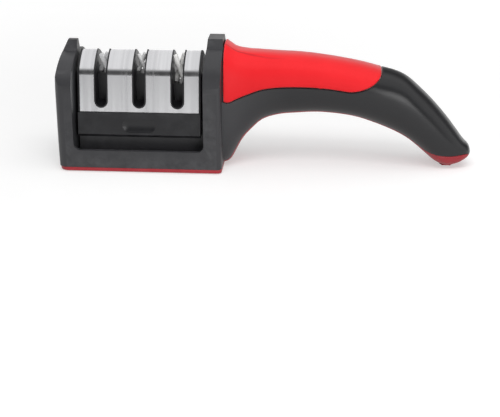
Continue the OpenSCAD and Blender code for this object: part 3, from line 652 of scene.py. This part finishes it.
def split(tree, source):
    return add(tree, "ShaderNodeSeparateXYZ", [(0, source)])


# ---- geometry node trees

def shape_tree(name, *inputs):
    """Tree with a mesh in and out, named sizes and a finish."""
    return new_group(
        "GeometryNodeTree", name, [("Geometry", "Geometry", None), *inputs, ("Finish", "Material", None)],
        [("Geometry", "Geometry")])


def cylinder(tree, sides, radius, depth):
    return add(tree, "GeometryNodeMeshCylinder", [
        ("Vertices", sides), ("Radius", radius), ("Depth", depth)])[0]


def cube(tree, size):
    return add(tree, "GeometryNodeMeshCube", [("Size", size)])[0]


def lifted(tree, shape, height):
    return add(tree, "GeometryNodeTransform", [
        ("Geometry", shape), ("Translation", vector(tree, Z=height))])[0]


def at_points(tree, points, shape, *more):
    return add(tree, "GeometryNodeInstanceOnPoints", [("Points", points), ("Instance", shape), *more])[0]


def repeated(tree, shape, count, start, **pitch):
    """Copies of a shape along one axis, at an even pitch."""
    line = add(tree, "GeometryNodeMeshLine", [
        ("Count", count), ("Start Location", start), ("Offset", vector(tree, **pitch))])[0]
    return at_points(tree, line, shape)


def join(tree, *shapes):
    return add(tree, "GeometryNodeJoinGeometry", [(0, shape) for shape in shapes])[0]


def cut_by(tree, shape, *tools):
    links = [("Mesh 1", shape)] + [("Mesh 2", tool) for tool in tools]
    return add(tree, "GeometryNodeMeshBoolean", links, operation="DIFFERENCE", solver="EXACT")[0]


def realized(tree, shape):
    return add(tree, "GeometryNodeRealizeInstances", [("Geometry", shape)])[0]


def end_tree(tree, shape, put, out):
    """Ends a tree in real geometry with its finish."""
    done = add(tree, "GeometryNodeSetMaterial", [
        ("Geometry", realized(tree, shape)), ("Material", put["Finish"])])
    tree.links.new(done[0], out[0])
    return tree


def spread(obj, tree, values):
    """Runs a geometry node tree on an object and keeps the plain mesh."""
    modifier = obj.modifiers.new(tree.name, "NODES")
    modifier.node_group = tree
    for item in tree.interface.items_tree:
        if item.item_type == "SOCKET" and item.in_out == "INPUT" and item.name in values:
            modifier[item.identifier] = values[item.name]
    settle(obj)


def screw_tree():
    """Cross-head screws with ribbed shanks, one on each point."""
    tree, put, out = shape_tree(
        "cross_head_screws",
        ("Shank radius", "Float", 0.0013), ("Shank length", "Float", 0.009), ("Head radius", "Float", 0.0023),
        ("Head height", "Float", 0.001), ("Recess", "Float", 0.0026), ("Thread pitch", "Float", 0.0009),
        ("Turn", "Vector", None))
    length, height, pitch = put["Shank length"], put["Head height"], put["Thread pitch"]
    head = lifted(tree, cylinder(tree, 36, put["Head radius"], height), times(tree, height, 0.5))
    arms = []
    for x, y in ((1.0, 0.24), (0.24, 1.0)):
        size = vector(tree, X=times(tree, put["Recess"], x), Y=times(tree, put["Recess"], y), Z=height)
        arms.append(cube(tree, size))
    root = times(tree, put["Shank radius"], 0.84)
    shank = lifted(tree, cylinder(tree, 24, root, length), plus(tree, height, times(tree, length, 0.5)))
    rib = add(tree, "GeometryNodeMeshCone", [
        ("Vertices", 24), ("Radius Top", root), ("Radius Bottom", put["Shank radius"]),
        ("Depth", times(tree, pitch, 0.5))])[0]
    count = maths(tree, "SUBTRACT", maths(tree, "DIVIDE", length, pitch), 1.0)
    ribs = repeated(tree, rib, count, vector(tree, Z=plus(tree, height, pitch)), Z=pitch)
    screw = join(tree, cut_by(tree, head, *arms), shank, ribs)
    return end_tree(tree, at_points(tree, put["Geometry"], screw, ("Rotation", put["Turn"])), put, out)


def rib_tree():
    """Ribs across the underside of a rubber pad, at an even pitch."""
    tree, put, out = shape_tree(
        "pad_ribs", ("Rib count", "Int", 14), ("Rib pitch", "Float", 0.004),
        ("Rib size", "Vector", None), ("First rib", "Vector", None))
    rib = cube(tree, put["Rib size"])
    ribs = repeated(tree, rib, put["Rib count"], put["First rib"], X=put["Rib pitch"])
    return end_tree(tree, join(tree, put["Geometry"], ribs), put, out)


def cover_tree():
    """Folded sheet: its section drawn out along X, then round-bottomed slots cut at an even pitch."""
    tree, put, out = shape_tree(
        "folded_sheet", ("Length", "Float", 0.061), ("Slot count", "Int", 3), ("Slot pitch", "Float", 0.0196),
        ("Slot width", "Float", 0.0071), ("Slot floor", "Float", 0.0317))
    drawn = add(tree, "GeometryNodeExtrudeMesh", [
        ("Mesh", put["Geometry"]), ("Offset", vector(tree, X=1.0)),
        ("Offset Scale", put["Length"]), ("Individual", False)])[0]
    near = add(tree, "GeometryNodeFlipFaces", [("Mesh", put["Geometry"])])[0]
    sheet = add(tree, "GeometryNodeMergeByDistance", [
        ("Geometry", join(tree, drawn, near)), ("Distance", 1e-6)])[0]
    # The slots' tool: a lying cylinder whose upper half is drawn up out of the sheet
    radius = times(tree, put["Slot width"], 0.5)
    tool = add(tree, "GeometryNodeTransform", [
        ("Geometry", cylinder(tree, 64, radius, 0.06)), ("Rotation", (math.pi / 2, 0.0, 0.0))])[0]
    above = maths(tree, "GREATER_THAN", split(tree, add(tree, "GeometryNodeInputPosition")[0])[2], 1e-6)
    tool = add(tree, "GeometryNodeSetPosition", [
        ("Geometry", tool), ("Selection", above), ("Offset", (0.0, 0.0, 0.05))])[0]
    back = times(tree, maths(tree, "SUBTRACT", put["Slot count"], 1.0), -0.5)
    first = vector(tree, X=times(tree, back, put["Slot pitch"]), Z=plus(tree, put["Slot floor"], radius))
    tools = repeated(tree, tool, put["Slot count"], first, X=put["Slot pitch"])
    return end_tree(tree, cut_by(tree, sheet, realized(tree, tools)), put, out)


# ---- shared shader groups

def shader_group(name, inputs, outputs):
    """Group with number inputs (label, default) and number outputs."""
    return new_group("ShaderNodeTree", name, [(label, "Float", value) for label, value in inputs],
                     [(label, "Float") for label in outputs])


def here(tree):
    return add(tree, "ShaderNodeTexCoord")["Object"]


def scaled(tree, source, x, y, z):
    return add(tree, "ShaderNodeVectorMath", [
        (0, source), (1, vector(tree, X=x, Y=y, Z=z))], operation="MULTIPLY")[0]


def noise(tree, place, scale, detail=3.0, rough=0.55):
    return add(tree, "ShaderNodeTexNoise", [
        ("Vector", place), ("Scale", scale), ("Detail", detail), ("Roughness", rough)])["Fac"]


def remap(tree, value, low, high, to_low=0.0, to_high=1.0):
    return add(tree, "ShaderNodeMapRange", [
        ("Value", value), ("From Min", low), ("From Max", high),
        ("To Min", to_low), ("To Max", to_high)])[0]


def moulding_group():
    """Spark-eroded grain, slow colour drift, scuffs, and rubbed edges whose paler colour is wear and also a
    painted edge highlight.
    """
    tree, put, out = shader_group(
        "moulded_surface", [("Grain scale", 2600.0), ("Drift scale", 45.0), ("Edge reach", 0.08)],
        ["Grain", "Drift", "Rubbed edge and highlight", "Scuff"])
    place = here(tree)
    cells = add(tree, "ShaderNodeTexVoronoi", [("Vector", place), ("Scale", put["Grain scale"])])
    fine = noise(tree, place, times(tree, put["Grain scale"], 0.6), 4.0)
    tree.links.new(plus(tree, times(tree, cells["Distance"], 0.55), times(tree, fine, 0.6)), out["Grain"])
    drift = noise(tree, place, put["Drift scale"], 5.0, 0.6)
    tree.links.new(remap(tree, drift, 0.3, 0.7), out["Drift"])
    point = add(tree, "ShaderNodeNewGeometry")["Pointiness"]
    edge = remap(tree, point, 0.52, plus(tree, put["Edge reach"], 0.52))
    patch = remap(tree, noise(tree, place, 160.0, 4.0, 0.65), 0.35, 0.62)
    tree.links.new(times(tree, edge, patch), out["Rubbed edge and highlight"])
    lines = noise(tree, scaled(tree, place, 260.0, 3200.0, 900.0), 1.0, 2.0)
    where = remap(tree, noise(tree, place, 28.0, 3.0), 0.52, 0.7)
    tree.links.new(times(tree, remap(tree, lines, 0.66, 0.74), where), out["Scuff"])
    return tree


def brushing_group():
    """Fine parallel brush lines: close together along X and drawn out along the sheet's bend."""
    tree, put, out = shader_group(
        "brushed_lines", [("Line scale", 2400.0), ("Draw", 30.0)], ["Lines", "Bands"])
    place = here(tree)
    fine = noise(tree, scaled(tree, place, put["Line scale"], put["Draw"], put["Draw"]), 1.0, 3.0, 0.7)
    wide = noise(tree, scaled(tree, place, 420.0, 9.0, 9.0), 1.0, 2.0)
    tree.links.new(fine, out["Lines"])
    tree.links.new(remap(tree, wide, 0.3, 0.7), out["Bands"])
    return tree


def grit_group():
    """Packed grains, as on an abrasive coat, a ceramic piece or matt rubber."""
    tree, put, out = shader_group("packed_grit", [("Grit scale", 5000.0)], ["Height", "Tone"])
    cells = add(tree, "ShaderNodeTexVoronoi", [("Vector", here(tree)), ("Scale", put["Grit scale"])])
    tree.links.new(maths(tree, "SUBTRACT", 1.0, cells["Distance"]), out["Height"])
    tree.links.new(add(tree, "ShaderNodeSeparateColor", [("Color", cells["Color"])])[0], out["Tone"])
    return tree


# ---- finishes

FINISH = {}


def material(name):
    """New material, kept in FINISH under its name. Gives its tree and its shader."""
    FINISH[name] = made = bpy.data.materials.new(name)
    made.use_nodes = True
    return made.node_tree, made.node_tree.nodes["Principled BSDF"]


def use(tree, group, **values):
    """Places a shader group and gives its outputs. An input's name has _ for its spaces."""
    links = [(label.replace("_", " "), value) for label, value in values.items()]
    return add(tree, "ShaderNodeGroup", links, node_tree=group)


def blend_colour(tree, factor, a, b):
    """Colour between a and b, which are colours or sockets."""
    a, b = ((*source, 1.0) if isinstance(source, tuple) else source for source in (a, b))
    return add(tree, "ShaderNodeMix", [(0, factor), (6, a), (7, b)], data_type="RGBA")[2]


def bump(tree, height, distance, strength):
    """Normal from a height, whose distance is in millimetres."""
    return add(tree, "ShaderNodeBump", [
        ("Strength", strength), ("Distance", distance * MM), ("Height", height)])[0]


def moulded_plastic(name, group, colour, paler, wear_and_highlight, rough, grain, depth, scale=2600.0, gloss=0.5,
                    handle=None):
    """Grained plastic. handle gives the colour and roughness beyond the end wall; the paler colour of the
    walls and the handle's root is painted light.
    """
    tree, shader = material(name)
    surface = use(tree, group, Grain_scale=scale)
    tone = blend_colour(tree, surface["Drift"], colour, paler)
    base = remap(tree, surface["Drift"], 0.0, 1.0, rough - 0.02, rough + 0.03)
    height = surface["Grain"]
    if handle:
        # Painted light: the walls' paler colour fades into the darker handle only over its root, 6 to 34 mm
        # past the wall
        along = remap(tree, split(tree, here(tree))[0], (BASE_RIGHT + 6) * MM, (BASE_RIGHT + 34) * MM)
        tone = blend_colour(tree, along, tone, handle[0])
        base = plus(tree, base, times(tree, along, handle[1] - rough))
        height = times(tree, height, remap(tree, along, 0.0, 1.0, 1.0, 0.35))
    # Paler edges: rubbed wear together with a painted highlight along the edges; the scuffs are wear
    tone = blend_colour(tree, times(tree, surface["Rubbed edge and highlight"], 0.4), tone, wear_and_highlight)
    tone = blend_colour(tree, times(tree, surface["Scuff"], 0.15), tone, wear_and_highlight)
    polish = times(tree, surface["Rubbed edge and highlight"], -0.08)
    feed(tree, shader, [
        ("Specular IOR Level", gloss), ("Base Color", tone), ("Roughness", plus(tree, base, polish)),
        ("Normal", bump(tree, height, depth, grain))])


def finish_grip(name):
    """Sheen, and a painted shade line in the colour along the crease on both shoulders behind the wall."""
    tree = FINISH[name].node_tree
    shader = tree.nodes["Principled BSDF"]
    place = split(tree, here(tree))
    # Painted shade: a dark line in the colour where the crease's step shades the grip
    line = remap(tree, place[0], 0.046, 0.066, 0.0048, 0.0077)
    off = maths(tree, "ABSOLUTE", maths(tree, "SUBTRACT", maths(tree, "ABSOLUTE", place[1]), line))
    groove = times(tree, remap(tree, off, 0.0001, 0.0007, 1.0, 0.0),
                   remap(tree, place[0], 0.050, 0.076, 1.0, 0.0))
    groove = times(tree, groove, maths(tree, "GREATER_THAN", place[2], 0.052))
    old = shader.inputs["Base Color"].links[0].from_socket
    crease_shaded_colour = blend_colour(tree, times(tree, groove, 0.6), old, (0.30, 0.006, 0.012))
    feed(tree, shader, [("Base Color", crease_shaded_colour), ("Sheen Weight", 0.9), ("Sheen Roughness", 0.35)])


def coat(name, colours, rough, heights, distance, strength=0.6, metallic=0.0):
    """Finish whose colour and roughness follow one mask. heights(tree) gives its height and that mask."""
    tree, shader = material(name)
    height, tone = heights(tree)
    feed(tree, shader, [
        ("Metallic", metallic), ("Base Color", blend_colour(tree, tone, *colours)),
        ("Roughness", remap(tree, tone, 0.0, 1.0, *rough)),
        ("Normal", bump(tree, height, distance, strength))])


def make_materials():
    moulding, brushing, grit = moulding_group(), brushing_group(), grit_group()
    # The walls' paler colour against the darker handle is painted light
    moulded_plastic(
        "black_plastic", moulding, (0.033, 0.033, 0.036), (0.036, 0.036, 0.040), (0.10, 0.10, 0.105),
        rough=0.44, grain=0.4, depth=0.02, gloss=0.45, handle=((0.0105, 0.0105, 0.012), 0.31))
    moulded_plastic(
        "cartridge_plastic", moulding, (0.010, 0.010, 0.0115), (0.014, 0.014, 0.016), (0.06, 0.06, 0.065),
        rough=0.36, grain=0.3, depth=0.015, scale=3400.0, gloss=0.4)
    moulded_plastic(
        "red_soft_grip", moulding, (0.84, 0.009, 0.015), (0.90, 0.014, 0.021), (0.92, 0.05, 0.05),
        rough=0.52, grain=0.4, depth=0.02, scale=2200.0, gloss=0.25)
    finish_grip("red_soft_grip")
    moulded_plastic(
        "red_cover", moulding, (0.38, 0.016, 0.026), (0.44, 0.022, 0.034), (0.60, 0.10, 0.11),
        rough=0.42, grain=0.3, depth=0.015)

    def brushed(tree):
        lines = use(tree, brushing)
        return lines["Lines"], lines["Bands"]

    def gritty(scale):
        def heights(tree):
            grains = use(tree, grit, Grit_scale=scale)
            return grains["Height"], grains["Tone"]
        return heights

    coat("steel_sheet", ((0.72, 0.72, 0.735), (0.62, 0.62, 0.635)), (0.16, 0.28), brushed, 0.008,
         metallic=1.0)
    coat("carbide", ((0.90, 0.90, 0.91), (0.78, 0.78, 0.79)), (0.37, 0.49), brushed, 0.010, metallic=0.15)
    coat("diamond_coat", ((0.92, 0.92, 0.92), (0.78, 0.78, 0.78)), (0.45, 0.57), gritty(6500.0), 0.04,
         metallic=0.1)
    coat("screw_steel", ((0.60, 0.60, 0.62), (0.50, 0.50, 0.52)), (0.23, 0.35), gritty(2500.0), 0.01,
         metallic=1.0)
    coat("ceramic", ((0.96, 0.955, 0.94), (0.93, 0.92, 0.90)), (0.36, 0.5), gritty(7000.0), 0.01, 0.4)
    coat("pad_rubber", ((0.022, 0.022, 0.022), (0.04, 0.04, 0.04)), (0.68, 0.85), gritty(1800.0), 0.08, 0.5)
    coat("tip_rubber", ((0.38, 0.016, 0.026), (0.48, 0.04, 0.05)), (0.68, 0.85), gritty(1800.0), 0.08, 0.5)


# ---- pieces on the frame

def dress(obj, name, body, nodes, slot, finish=None):
    """Names a finished piece, gives it the finish named by finish or else by slot, ties it to its body and
    hides the CAD nodes that it stands for.
    """
    obj.name = obj.data.name = name
    obj.data.materials.clear()
    obj.data.materials.append(FINISH[finish or slot])
    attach(obj, body)
    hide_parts(*nodes)


def eased_copy(node, width, segments=2, angle=32, form=None):
    """Merged copy of a CAD node's mesh with its sharp edges rounded."""
    copy = bpy.data.objects.new(node + "_copy", NODES[node].data.copy())
    bpy.context.scene.collection.objects.link(copy)
    edit_mesh(copy, tidy_flats)
    if form:
        edit_mesh(copy, form)
    outward(copy)
    ease_edges(copy, width, segments, angle)
    shade(copy)
    return copy


def bend_lips(bm):
    """Rounds the black core, rims and lips where they follow the bent steel."""
    def on_bend(vert):
        y, z = abs(vert.co.y) / MM - STEEL_SHOULDER[0], vert.co.z / MM - STEEL_SHOULDER[1]
        return any(math.hypot(y - over, z - over / 2) < 0.2 for over in (0.15, -0.6))
    edges = [e for e in bm.edges if all(on_bend(v) for v in e.verts) and
             abs(e.verts[0].co.x - e.verts[1].co.x) > 0.2 * MM]
    bmesh.ops.bevel(
        bm, geom=edges, offset=2.4 * MM, segments=6, profile=0.5, affect="EDGES", clamp_overlap=True)


def make_body():
    body = make_base()
    carve(body, make_handle(), "UNION")
    shade(body, 30)
    dress(body, "body_with_handle", "base", ["body_shell"], "black_plastic")
    grip = make_grip()
    shade(grip, 60, False)
    dress(grip, "grip_skin", "base", ["soft_grip"], "red_soft_grip")
    cover = make_cover()
    shade(cover, 30)
    dress(cover, "sole_and_strip", "base", ["bottom_cover"], "red_cover")


def make_foot(tree, slab, middle, count, pitch, size, name, nodes, finish):
    """Rubber pad: a slab with ribs below it, let into the red cover. Sizes in millimetres."""
    spread(slab, tree, {
        "Rib count": count, "Rib pitch": pitch * MM, "Rib size": tuple(s * MM for s in size),
        "First rib": ((middle - pitch * (count - 1) / 2) * MM, 0.0, size[2] / 2 * MM),
        "Finish": FINISH[finish],
    })
    shade(slab)
    dress(slab, name, "base", nodes, "pad_rubber", finish)


def make_feet():
    tree = rib_tree()
    slab = rounded_slab("pad", PAD_LEN, PAD_W, PAD_R, (0.55, PAD_TOP))
    make_foot(tree, slab, PAD_MIDDLE, 14, 4.0, (2.2, 30, 0.6), "ribbed_base_pad", ["base_pad"], "pad_rubber")
    tip = disc("tip", TIP_PAD_X, 0, TIP_PAD_R, (0.5, PAD_TOP))
    make_foot(tree, tip, TIP_PAD_X, 3, 1.8, (1.0, 4.4, 0.55), "ribbed_tip_pad", ["tip_pad"], "tip_rubber")


def make_screws():
    tree = screw_tree()
    spots = [(x, y, COVER_Z + 0.1) for x in SCREW_X for y in (-SCREW_Y, SCREW_Y)]
    cover = new_piece("screw_spots", spots + [(TIP_PAD_X, 0, PAD_TOP)], [])
    spread(cover, tree, {"Finish": FINISH["screw_steel"]})
    shade(cover)
    dress(cover, "cross_head_cover_screws", "base", ["cover_screws"], "screw_steel")
    clamps = new_piece("clamp_spots", [(x, CLAMP_Y, CLAMP_Z) for x in (-CLAMP_X, CLAMP_X)], [])
    spread(clamps, tree, {
        "Shank radius": 1.1 * MM, "Shank length": 20 * MM, "Head radius": 2.1 * MM,
        "Head height": 1.2 * MM, "Recess": 2.4 * MM, "Turn": (-math.pi / 2, 0.0, 0.0),
        "Finish": FINISH["screw_steel"],
    })
    shade(clamps)
    dress(clamps, "cross_head_clamp_screws", "cartridge", ["cartridge_screws"], "screw_steel")


def bend(p, q, r, radius, n=7):
    """Points of a round bend at q between p and r."""
    back, on = (Vector(p) - Vector(q)).normalized(), (Vector(r) - Vector(q)).normalized()
    half = back.angle(on) / 2
    middle = Vector(q) + (back + on).normalized() * radius / math.sin(half)
    start = Vector(q) + back * radius / math.tan(half) - middle
    turn = math.pi - 2 * half
    sign = 1 if start.x * on.y - start.y * on.x > 0 else -1
    out = []
    for k in range(n + 1):
        c, s = math.cos(sign * turn * k / n), math.sin(sign * turn * k / n)
        out.append(tuple(middle + Vector((start.x * c - start.y * s, start.x * s + start.y * c))))
    return out


def steel_side(d):
    """One side of the folded sheet from its foot to the ridge, moved in by d, as points in Y and Z."""
    foot, shoulder = STEEL_FOOT, STEEL_SHOULDER
    rise = STEEL_RIDGE_Z - shoulder[1]
    slope = []
    for k in range(13):
        t = 1 - k / 12
        z = STEEL_RIDGE_Z - d - (rise - d / 2) * t + 4 * STEEL_CROWN * t * (1 - t)
        slope.append(((shoulder[0] - d) * t, z))
    fold = bend((foot[0] - d, foot[1]), slope[0], slope[1], STEEL_BEND - d)
    rest = [p for p in slope[1:] if p[0] < fold[-1][0] - 0.2]
    top = bend(rest[-2], rest[-1], (-rest[-2][0], rest[-2][1]), STEEL_BEND - d)
    rest = [p for p in rest if p[0] > top[0][0] + 0.1]
    return [(foot[0] - d, foot[1] + 0.1)] + fold + rest + [p for p in top if p[0] > -1e-6]


def make_steel():
    """Steel cover with its bent shoulders, ridge and the four tabs that hold it in the plastic."""
    faces = []
    for half in (steel_side(0.0), steel_side(STEEL_T)):
        faces.append(half + [(-y, z) for y, z in reversed(half) if y > 1e-3])
    line = [(-STEEL_END, y, z) for y, z in faces[0] + faces[1][::-1]]
    section = new_piece("section", line, [list(range(len(line)))])
    if section.data.polygons[0].normal.x < 0:
        section.data.flip_normals()
    spread(section, cover_tree(), {
        "Length": 2 * STEEL_END * MM, "Slot pitch": SLOT_PITCH * MM, "Slot width": CUT_W * MM,
        "Slot floor": CUT_FLOOR * MM, "Finish": FINISH["steel_sheet"]})
    outward(section)
    tab_z = (STEEL_FOOT[1] + 0.05, STEEL_FOOT[1] + 0.45)
    for x in (-SLOT_PITCH / 2, SLOT_PITCH / 2):
        for side in (-1, 1):
            y = sorted((side * (STEEL_FOOT[0] - 0.3), side * (STEEL_FOOT[0] - 1.5)))
            carve(section, block("tab", (x - 3, x + 3), y, tab_z), "UNION")
    edit_mesh(section, lambda bm: tidy_flats(bm, 0.1))
    ease_edges(section, 0.07, 2, 50)
    shade(section, 30)
    dress(section, "folded_steel_cover", "cartridge", ["steel_cover"], "steel_sheet")


# Sharpening pieces: CAD name, piece, material slot, width of the eased edge, its segments, least angle
SHARPENERS = [
    ("carbide_bar", "coarse_bar", "carbide", 0.15, 2, 32),
    ("diamond_rod", "medium_rod", "diamond_coat", 0.2, 2, 50),
    ("ceramic_rod", "fine_rod", "ceramic", 0.35, 3, 50),
]


def make_cartridge():
    for side in ("front", "rear"):
        half = eased_copy(f"cartridge_{side}_half", 0.2, form=bend_lips)
        dress(half, f"cartridge_shell_{side}", "cartridge", [f"cartridge_{side}_half"], "black_plastic",
              "cartridge_plastic")
        for node, name, slot, *ease in SHARPENERS:
            rod = eased_copy(f"{node}_{side}", *ease)
            dress(rod, f"{name}_{side}", "cartridge", [f"{node}_{side}"], slot)
    make_steel()


# ---- floor, lamps and camera

FLOOR_REACH, FLOOR_DEPTH = 6000, -0.02


def seen_white(tree):
    """1 for the rays of the camera, of metal and of glass, which see a white background."""
    path = add(tree, "ShaderNodeLightPath")
    return maths(tree, "MAXIMUM", path["Is Camera Ray"],
                 maths(tree, "MAXIMUM", path["Is Glossy Ray"], path["Is Transmission Ray"]))


def make_stage(name, points, finish, surface):
    """Face with four corners, whose material shows the given surface."""
    piece = new_piece(name, points, [[0, 1, 2, 3]])
    tree = FINISH[finish].node_tree
    tree.links.new(surface, tree.nodes["Material Output"].inputs["Surface"])
    piece.data.materials.append(FINISH[finish])
    return piece


def make_floor():
    tree, shader = material("pale_floor")
    colour = blend_colour(tree, noise(tree, here(tree), 60.0), (0.59, 0.59, 0.59), (0.62, 0.62, 0.62))
    feed(tree, shader, [("Roughness", 0.9), ("Specular IOR Level", 0.1), ("Base Color", colour)])
    away = add(tree, "ShaderNodeVectorMath", [(0, here(tree))], operation="LENGTH")["Value"]
    level = remap(tree, away, 0.1, 0.9, 0.45, 0.82)
    glow = add(tree, "ShaderNodeEmission", [("Strength", times(tree, seen_white(tree), level))])[0]
    both = add(tree, "ShaderNodeAddShader", [(0, shader.outputs[0]), (1, glow)])[0]
    r, z = FLOOR_REACH, FLOOR_DEPTH
    floor = make_stage("floor", [(-r, -r, z), (r, -r, z), (r, r, z), (-r, r, z)], "pale_floor", both)


def make_lamp(name, place, aim, size, power, mirrored):
    lamp = bpy.data.lights.new(name, "AREA")
    lamp.shape = "RECTANGLE"
    lamp.size, lamp.size_y = size
    lamp.energy = power
    obj = bpy.data.objects.new(name, lamp)
    obj.location = place
    obj.rotation_euler = (Vector(aim) - Vector(place)).to_track_quat("-Z", "Y").to_euler()
    obj.visible_glossy = mirrored
    bpy.context.scene.collection.objects.link(obj)


def make_studio():
    """Soft light from above and low in front, a world that is seen as white, and three soft lamps."""
    world = bpy.data.worlds.new("studio")
    bpy.context.scene.world = world
    world.use_nodes = True
    tree = world.node_tree
    back = tree.nodes["Background"]
    side = split(tree, add(tree, "ShaderNodeTexCoord")["Generated"])
    overhead = remap(tree, side[2], 0.62, 0.93)
    front = remap(tree, side[1], 0.1, -0.5)
    low = remap(tree, side[2], 0.20, 0.06)
    behind = remap(tree, side[1], 0.0, 0.8, 0.07, 0.12)
    level = plus(tree, behind, times(tree, overhead, 0.85))
    level = plus(tree, level, times(tree, times(tree, front, low), 0.68))
    level = maths(tree, "MAXIMUM", seen_white(tree), level)
    feed(tree, back, [("Strength", level), ("Color", (1, 1, 1, 1))])
    middle = (0.05, 0.0, 0.03)
    make_lamp("key", (0.00, -0.62, 1.00), middle, (0.60, 0.45), 4.5, False)
    make_lamp("fill", (0.50, -0.30, 1.00), middle, (0.80, 0.60), 2.6, False)
    make_lamp("side panel", (0.44, -0.80, 0.24), (0.13, 0.0, 0.04), (0.46, 0.28), 2.1, True)


CARD_WIDTH, CARD_LEVEL = 5, 0.07


def make_card(name, y, x, foot, rise, fall):
    """Dark card that only shiny pieces mirror, in metres. It fades in along x and rise, out along fall."""
    near, far, top = x[0], x[0] + CARD_WIDTH, fall[1]
    points = [(near, y, 0.0), (far, y, 0.0), (far, y, top), (near, y, top)]
    tree, shader = material(name + "_black")
    place = split(tree, here(tree))
    rising, falling = remap(tree, place[2], *rise, foot, 1.0), remap(tree, place[2], *fall, 1.0, 0.0)
    cover = times(tree, times(tree, rising, falling), remap(tree, place[0], *x))
    clear = add(tree, "ShaderNodeBsdfTransparent")[0]
    glow = add(tree, "ShaderNodeEmission", [("Strength", CARD_LEVEL)])[0]
    mix = add(tree, "ShaderNodeMixShader", [(0, cover), (1, clear), (2, glow)])[0]
    card = make_stage(name, [Vector(p) / MM for p in points], name + "_black", mix)
    card.visible_camera = card.visible_diffuse = card.visible_shadow = card.visible_transmission = False


def make_camera():
    """Camera of the photograph, found from the object's own corners."""
    lens = bpy.data.cameras.new("camera")
    lens.sensor_width = 36
    lens.lens = 89.8885
    lens.clip_start, lens.clip_end = 0.01, 20
    camera = bpy.data.objects.new("camera", lens)
    turn = (Matrix.Rotation(math.radians(4.4465), 4, "Z")
            @ Matrix.Rotation(math.radians(90 - 22.0148), 4, "X")
            @ Matrix.Rotation(math.radians(-0.2069), 4, "Z"))
    camera.matrix_world = Matrix.Translation((0.103295, -0.617838, 0.222667)) @ turn
    bpy.context.scene.collection.objects.link(camera)
    bpy.context.scene.camera = camera


bpy.context.scene.view_settings.view_transform = "Standard"
make_materials()
make_body()
make_feet()
make_screws()
make_cartridge()
make_floor()
make_studio()
make_card("front_card", y=-1.4, x=(-2.6, -2.4), foot=0.25, rise=(0.08, 0.28), fall=(1.1, 2.3))
make_card("rear_card", y=1.4, x=(0.0, 0.25), foot=0.0, rise=(0.05, 0.3), fall=(0.9, 2.3))
make_camera()
